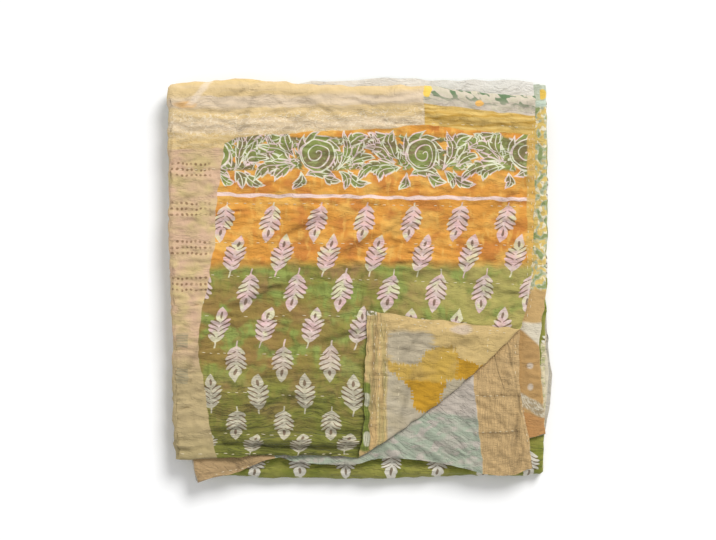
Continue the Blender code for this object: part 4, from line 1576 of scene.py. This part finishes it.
def plain_front_material(colours):
    """Fronts that stay folded away: soft stripes of yellow and grey-green."""
    paint = Patchwork("folded_front_cotton")
    paint.colour = paint.layered(
        (0.83, 0.74, 0.50),
        ((0.76, 0.74, 0.62), paint.noise(16, 18, 181).above(0.5, 0.1)),
        ((0.84, 0.80, 0.70), paint.y.between(-170, -60, 3)),
        ((0.74, 0.77, 0.69), paint.y.above(190, 3)),
        ((0.90, 0.76, 0.36), paint.spot(206, 210, 4.5, 6)),
    )
    return paint.finish()


def plain_back_material(colours):
    """Backs that stay folded away: greyed lilac and tan."""
    paint = Patchwork("folded_back_cotton")
    paint.colour = paint.layered(
        (0.77, 0.74, 0.69),
        ((0.72, 0.70, 0.64), paint.noise(30, 30, 201)),
        ((0.76, 0.66, 0.47), paint.y.between(20, 190, 3)),
        ((0.74, 0.77, 0.69), paint.y.above(190, 3)),
    )
    return paint.finish()


def white_end_material(colours):
    """White patch at the quilt's far end, which shows behind the far fold."""
    paint = Patchwork("white_end_cotton")
    cloud = paint.noise(30, 12, 221).above(0.5, 0.3)
    paint.colour = paint.mixed((0.90, 0.885, 0.85), (0.87, 0.85, 0.81), cloud)
    return paint.finish(creases=1.2)


PATCHWORK = (
    leaf_print_material,
    turned_corner_material,
    second_layer_material,
    right_edge_material,
    leaf_strip_material,
    plain_front_material,
    plain_back_material,
    white_end_material,
    far_patches_material,
)


# Edges that turn more than this stay sharp.
SHARP_ANGLE = math.radians(75)


class QUILT_OT_folded_cloth(bpy.types.Operator):
    """Make the quilted cloth, folded, with its corner turned back"""

    bl_idname = "quilt.folded_cloth"
    bl_label = "Folded Cloth"

    def execute(self, context):
        sizes, colours = context.scene.quilt_sizes, context.scene.quilt_colours
        fold = Folding(sizes)
        cloth = flat_cloth(fold)
        cloth.name = cloth.data.name = "quilt_cloth"
        choose_patches(cloth, fold)
        u, w, n = coordinates(cloth.data)
        flat = cloth.data.attributes.new("flat", "FLOAT_VECTOR", "POINT")
        flat.data.foreach_set("vector", np.stack([u, w, n], axis=-1).ravel())
        move_to(cloth.data, *fold.folded(u, w, n))
        score_crease(cloth, fold)
        flat_places = np.empty(len(cloth.data.vertices) * 3)
        cloth.data.attributes["flat"].data.foreach_get("vector", flat_places)
        u, w, n = flat_places.reshape(-1, 3).T
        cloth.data.attributes.remove(cloth.data.attributes["flat"])
        smooth_x, smooth_y, smooth_z = fold.folded(u, w, n)
        raised, painted_crease_shade = raise_crinkles(fold, sizes, u, w, n)
        x, y, z = fold.folded(u, w, raised)
        top = smooth_z > fold.top_sheet - fold.pitch / 2
        x, y, z = fold.turned(x, y, z, top)
        smooth_x, smooth_y, smooth_z = fold.turned(smooth_x, smooth_y, smooth_z, top)
        move_to(cloth.data, u, w, n)
        place_print(cloth, fold, u, w, x, y)
        # The crease depths go into an attribute, which the materials paint as shade.
        shade = cloth.data.attributes.new("painted_crease_shade", "FLOAT", "POINT")
        shade.data.foreach_set("value", painted_crease_shade)
        move_to(cloth.data, *strayed(*fold.uneven(x, y, z, smooth_z)))
        for make in PATCHWORK:
            cloth.data.materials.append(make(colours))
        deselect_all()
        cloth.select_set(True)
        context.view_layer.objects.active = cloth
        bpy.ops.object.mode_set(mode="EDIT")
        bpy.ops.mesh.select_all(action="SELECT")
        bpy.ops.mesh.normals_make_consistent(inside=False)
        bpy.ops.object.mode_set(mode="OBJECT")
        bpy.ops.object.shade_smooth_by_angle(angle=SHARP_ANGLE)
        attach(cloth, "root")
        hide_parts("quilt")
        return {"FINISHED"}


def stitch_dash():
    """One stitch: a short thread with rounded ends, along X, a millimetre long and thick."""
    deselect_all()
    bpy.ops.mesh.primitive_uv_sphere_add(segments=6, ring_count=6, radius=0.5, rotation=(0, math.pi / 2, 0))
    dash = bpy.context.object
    bpy.ops.object.transform_apply(location=False, rotation=True, scale=False)
    shape = dash.data
    vertices = np.array([v.co for v in shape.vertices])
    faces = [tuple(face.vertices) for face in shape.polygons]
    bpy.data.objects.remove(dash)
    bpy.data.meshes.remove(shape)
    return vertices, faces


# How a hand-sewn row varies: the shares of a stitch's length and of the gap after it, how far it lies
# off its line, how much it tilts, how many have worn away, and by what share of its lift the ends sink.
LENGTH_SHARES, GAP_SHARES = (0.7, 1.15), (0.7, 1.4)
OFF_LINE, TILT = 0.7 * MM, 0.12
WORN_AWAY = 0.25
SUNK = 0.45


def rows_of_stitches(name, rows, length, gap, thread, lift, seed):
    """Lays stitches along rows on the cloth and joins them into one piece."""
    cloth = bpy.data.objects["quilt_cloth"].data
    tree = BVHTree.FromPolygons([v.co for v in cloth.vertices], [tuple(p.vertices) for p in cloth.polygons])
    dash, dash_faces = stitch_dash()
    chance = random.Random(seed)
    vertices, faces = [], []
    for row in rows:
        start, end = Vector(row[:2]), Vector(row[2:])
        reach = (end - start).length
        ahead = (end - start) / reach
        aside = Vector((-ahead.y, ahead.x))
        place = 0.0
        while place < reach - length:
            size = length * chance.uniform(*LENGTH_SHARES)
            off = chance.uniform(-OFF_LINE, OFF_LINE)
            kept = chance.random() > WORN_AWAY
            tilt = chance.uniform(-TILT, TILT)
            if kept:
                base = len(vertices)
                for along, across, up in dash:
                    on_line = start + ahead * (place + size * (0.5 + along))
                    spot = on_line + aside * (off + tilt * size * along)
                    hit = tree.ray_cast(Vector((spot.x, spot.y, 1)), Vector((0, 0, -1)))
                    bow = 1 - (2 * along) ** 2
                    spot += aside * (across * thread)
                    vertices.append((spot.x, spot.y, hit[0].z + up * thread + lift * (bow - SUNK)))
                faces.extend(tuple(base + index for index in face) for face in dash_faces)
            place += size + gap * chance.uniform(*GAP_SHARES)
    mesh = bpy.data.meshes.new(name)
    mesh.from_pydata(vertices, [], faces)
    piece = bpy.data.objects.new(name, mesh)
    bpy.context.scene.collection.objects.link(piece)
    mesh.shade_smooth()
    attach(piece, "root")
    return piece


def thread_material(colours):
    """Soft cotton thread with a fine twist."""
    material = bpy.data.materials.new("quilting_thread")
    material.use_nodes = True
    tree = material.node_tree
    shader = tree.nodes["Principled BSDF"]
    shader.inputs["Roughness"].default_value = 0.85
    place = tree.nodes.new("ShaderNodeTexCoord")
    twist = tree.nodes.new("ShaderNodeTexNoise")
    twist.inputs["Scale"].default_value = 900
    tree.links.new(place.outputs["Object"], twist.inputs["Vector"])
    mix = tree.nodes.new("ShaderNodeMix")
    mix.data_type = "RGBA"
    mix.inputs[6].default_value = linear(tuple(c * 0.90 for c in colours.thread))
    mix.inputs[7].default_value = linear(tuple(colours.thread))
    tree.links.new(twist.outputs["Fac"], mix.inputs["Factor"])
    tree.links.new(mix.outputs[2], shader.inputs["Base Color"])
    bump = tree.nodes.new("ShaderNodeBump")
    bump.inputs["Distance"].default_value = 0.1 * MM
    tree.links.new(twist.outputs["Fac"], bump.inputs["Height"])
    tree.links.new(bump.outputs[0], shader.inputs["Normal"])
    return material


class QUILT_OT_running_stitches(bpy.types.Operator):
    """Sew the rows of running stitch across the top layer"""

    bl_idname = "quilt.running_stitches"
    bl_label = "Running Stitches"

    def execute(self, context):
        sizes, colours = context.scene.quilt_sizes, context.scene.quilt_colours
        piece = rows_of_stitches(
            "running_stitches", STITCH_ROWS, sizes.stitch_length, 4.6 * MM, sizes.thread, 0.35 * MM, seed=3
        )
        piece.data.materials.append(thread_material(colours))
        return {"FINISHED"}


# The closer rows along the hems and seams.
HEM_ROWS = (
    # start x, start y, end x, end y
    (0.1900, 0.1600, 0.1880, -0.0450),
    (0.1945, 0.1900, 0.1925, -0.0350),
    (0.0170, -0.0480, 0.0130, -0.1700),
    (0.0235, -0.0480, 0.0200, -0.1650),
    (0.0300, -0.0480, 0.0270, -0.1500),
    (0.0400, -0.0430, 0.1700, -0.0590),
    (0.0600, -0.0500, 0.1500, -0.0600),
    (0.1230, -0.1300, 0.1840, -0.1300),
    (0.1290, -0.1710, 0.1880, -0.1690),
    (-0.1630, -0.2180, -0.1010, -0.2040),
    (0.0436, -0.0500, 0.0430, -0.1400),
    (0.0925, -0.0550, 0.0915, -0.1180),
    (0.1440, -0.0580, 0.1430, -0.0880),
    (0.0970, -0.0800, 0.1340, -0.0960),
    (0.1750, -0.0720, 0.1755, -0.1180),
    (0.1815, -0.1250, 0.1890, -0.1860),
)


class QUILT_OT_hem_threads(bpy.types.Operator):
    """Sew the closer rows along the hems and seams"""

    bl_idname = "quilt.hem_threads"
    bl_label = "Hem Threads"

    def execute(self, context):
        sizes = context.scene.quilt_sizes
        length, thread = 0.8 * sizes.stitch_length, 0.85 * sizes.thread
        piece = rows_of_stitches("hem_threads", HEM_ROWS, length, 3.5 * MM, thread, 0.3 * MM, seed=5)
        piece.data.materials.append(bpy.data.materials["quilting_thread"])
        return {"FINISHED"}


# The photograph's frame: its size in pixels, the bundle's middle in it, and a pixel's size.
PHOTO_WIDTH, PHOTO_HEIGHT = 716, 540
BUNDLE_X, BUNDLE_Y = 360.0, 280.5
PIXEL = 1.124 * MM

# Where the key light comes from, and how wide it is.
KEY_DIRECTION = (0.45, 0.72, 0.74)
KEY_ANGLE = math.radians(28)

# The floor, and the camera's sensor and reach.
FLOOR_SIZE = 30
FLOOR_HEIGHT = -0.2 * MM
SENSOR_WIDTH = 36
CLIP_END = 50


def stage_floor(colour):
    """A plain pale floor, large and flat."""
    deselect_all()
    bpy.ops.mesh.primitive_plane_add(size=FLOOR_SIZE, location=(0, 0, FLOOR_HEIGHT))
    floor = bpy.context.object
    bpy.ops.object.transform_apply(location=True, rotation=False, scale=False)
    floor.name = floor.data.name = "floor"
    material = bpy.data.materials.new("pale_floor")
    material.use_nodes = True
    shader = material.node_tree.nodes["Principled BSDF"]
    shader.inputs["Base Color"].default_value = linear(tuple(colour))
    shader.inputs["Roughness"].default_value = 0.9
    floor.data.materials.append(material)


def sunlight(strength):
    """A broad soft light from the far right, low enough to show the crinkles."""
    data = bpy.data.lights.new("key_light", "SUN")
    data.angle = KEY_ANGLE
    data.energy = strength
    light = bpy.data.objects.new("key_light", data)
    bpy.context.scene.collection.objects.link(light)
    light.rotation_euler = (-Vector(KEY_DIRECTION)).to_track_quat("-Z", "Y").to_euler()


class QUILT_OT_stage(bpy.types.Operator):
    """Set the floor, the lights and the camera straight above"""

    bl_idname = "quilt.stage"
    bl_label = "Stage"

    def execute(self, context):
        settings = context.scene.quilt_stage
        stage_floor(settings.floor)
        sunlight(settings.key_strength)
        world = bpy.data.worlds.new("studio")
        world.use_nodes = True
        world.node_tree.nodes["Background"].inputs["Color"].default_value = (1, 1, 1, 1)
        world.node_tree.nodes["Background"].inputs["Strength"].default_value = settings.sky_strength
        context.scene.world = world
        data = bpy.data.cameras.new("camera")
        camera = bpy.data.objects.new("camera", data)
        context.scene.collection.objects.link(camera)
        data.sensor_width = SENSOR_WIDTH
        data.lens = SENSOR_WIDTH * (settings.camera_height - CAD_TOP) / (PHOTO_WIDTH * PIXEL)
        data.clip_end = CLIP_END
        middle_x = (PHOTO_WIDTH / 2 - BUNDLE_X) * PIXEL
        middle_y = (BUNDLE_Y - PHOTO_HEIGHT / 2) * PIXEL
        camera.location = (middle_x, middle_y, settings.camera_height)
        context.scene.camera = camera
        context.scene.view_settings.view_transform = "Standard"
        return {"FINISHED"}


class QUILT_PT_panel(bpy.types.Panel):
    """Lists what the quilt is made of"""

    bl_label = "Folded Sari Quilt"
    bl_space_type = "VIEW_3D"
    bl_region_type = "UI"
    bl_category = "Quilt"

    def draw(self, context):
        column = self.layout.column()
        scene = context.scene
        for group in (scene.quilt_sizes, scene.quilt_colours, scene.quilt_stage):
            for name in group.__annotations__:
                column.prop(group, name)
        for operator in OPERATORS:
            column.operator(operator.bl_idname)


OPERATORS = (QUILT_OT_folded_cloth, QUILT_OT_running_stitches, QUILT_OT_hem_threads, QUILT_OT_stage)
CLASSES = (QuiltSizes, QuiltColours, StageSettings, *OPERATORS, QUILT_PT_panel)


def register():
    for each in CLASSES:
        bpy.utils.register_class(each)
    bpy.types.Scene.quilt_sizes = bpy.props.PointerProperty(type=QuiltSizes)
    bpy.types.Scene.quilt_colours = bpy.props.PointerProperty(type=QuiltColours)
    bpy.types.Scene.quilt_stage = bpy.props.PointerProperty(type=StageSettings)


def unregister():
    del bpy.types.Scene.quilt_stage
    del bpy.types.Scene.quilt_colours
    del bpy.types.Scene.quilt_sizes
    for each in reversed(CLASSES):
        bpy.utils.unregister_class(each)


def main():
    register()
    bpy.ops.quilt.folded_cloth()
    bpy.ops.quilt.running_stitches()
    bpy.ops.quilt.hem_threads()
    bpy.ops.quilt.stage()


if __name__ == "__main__":
    main()
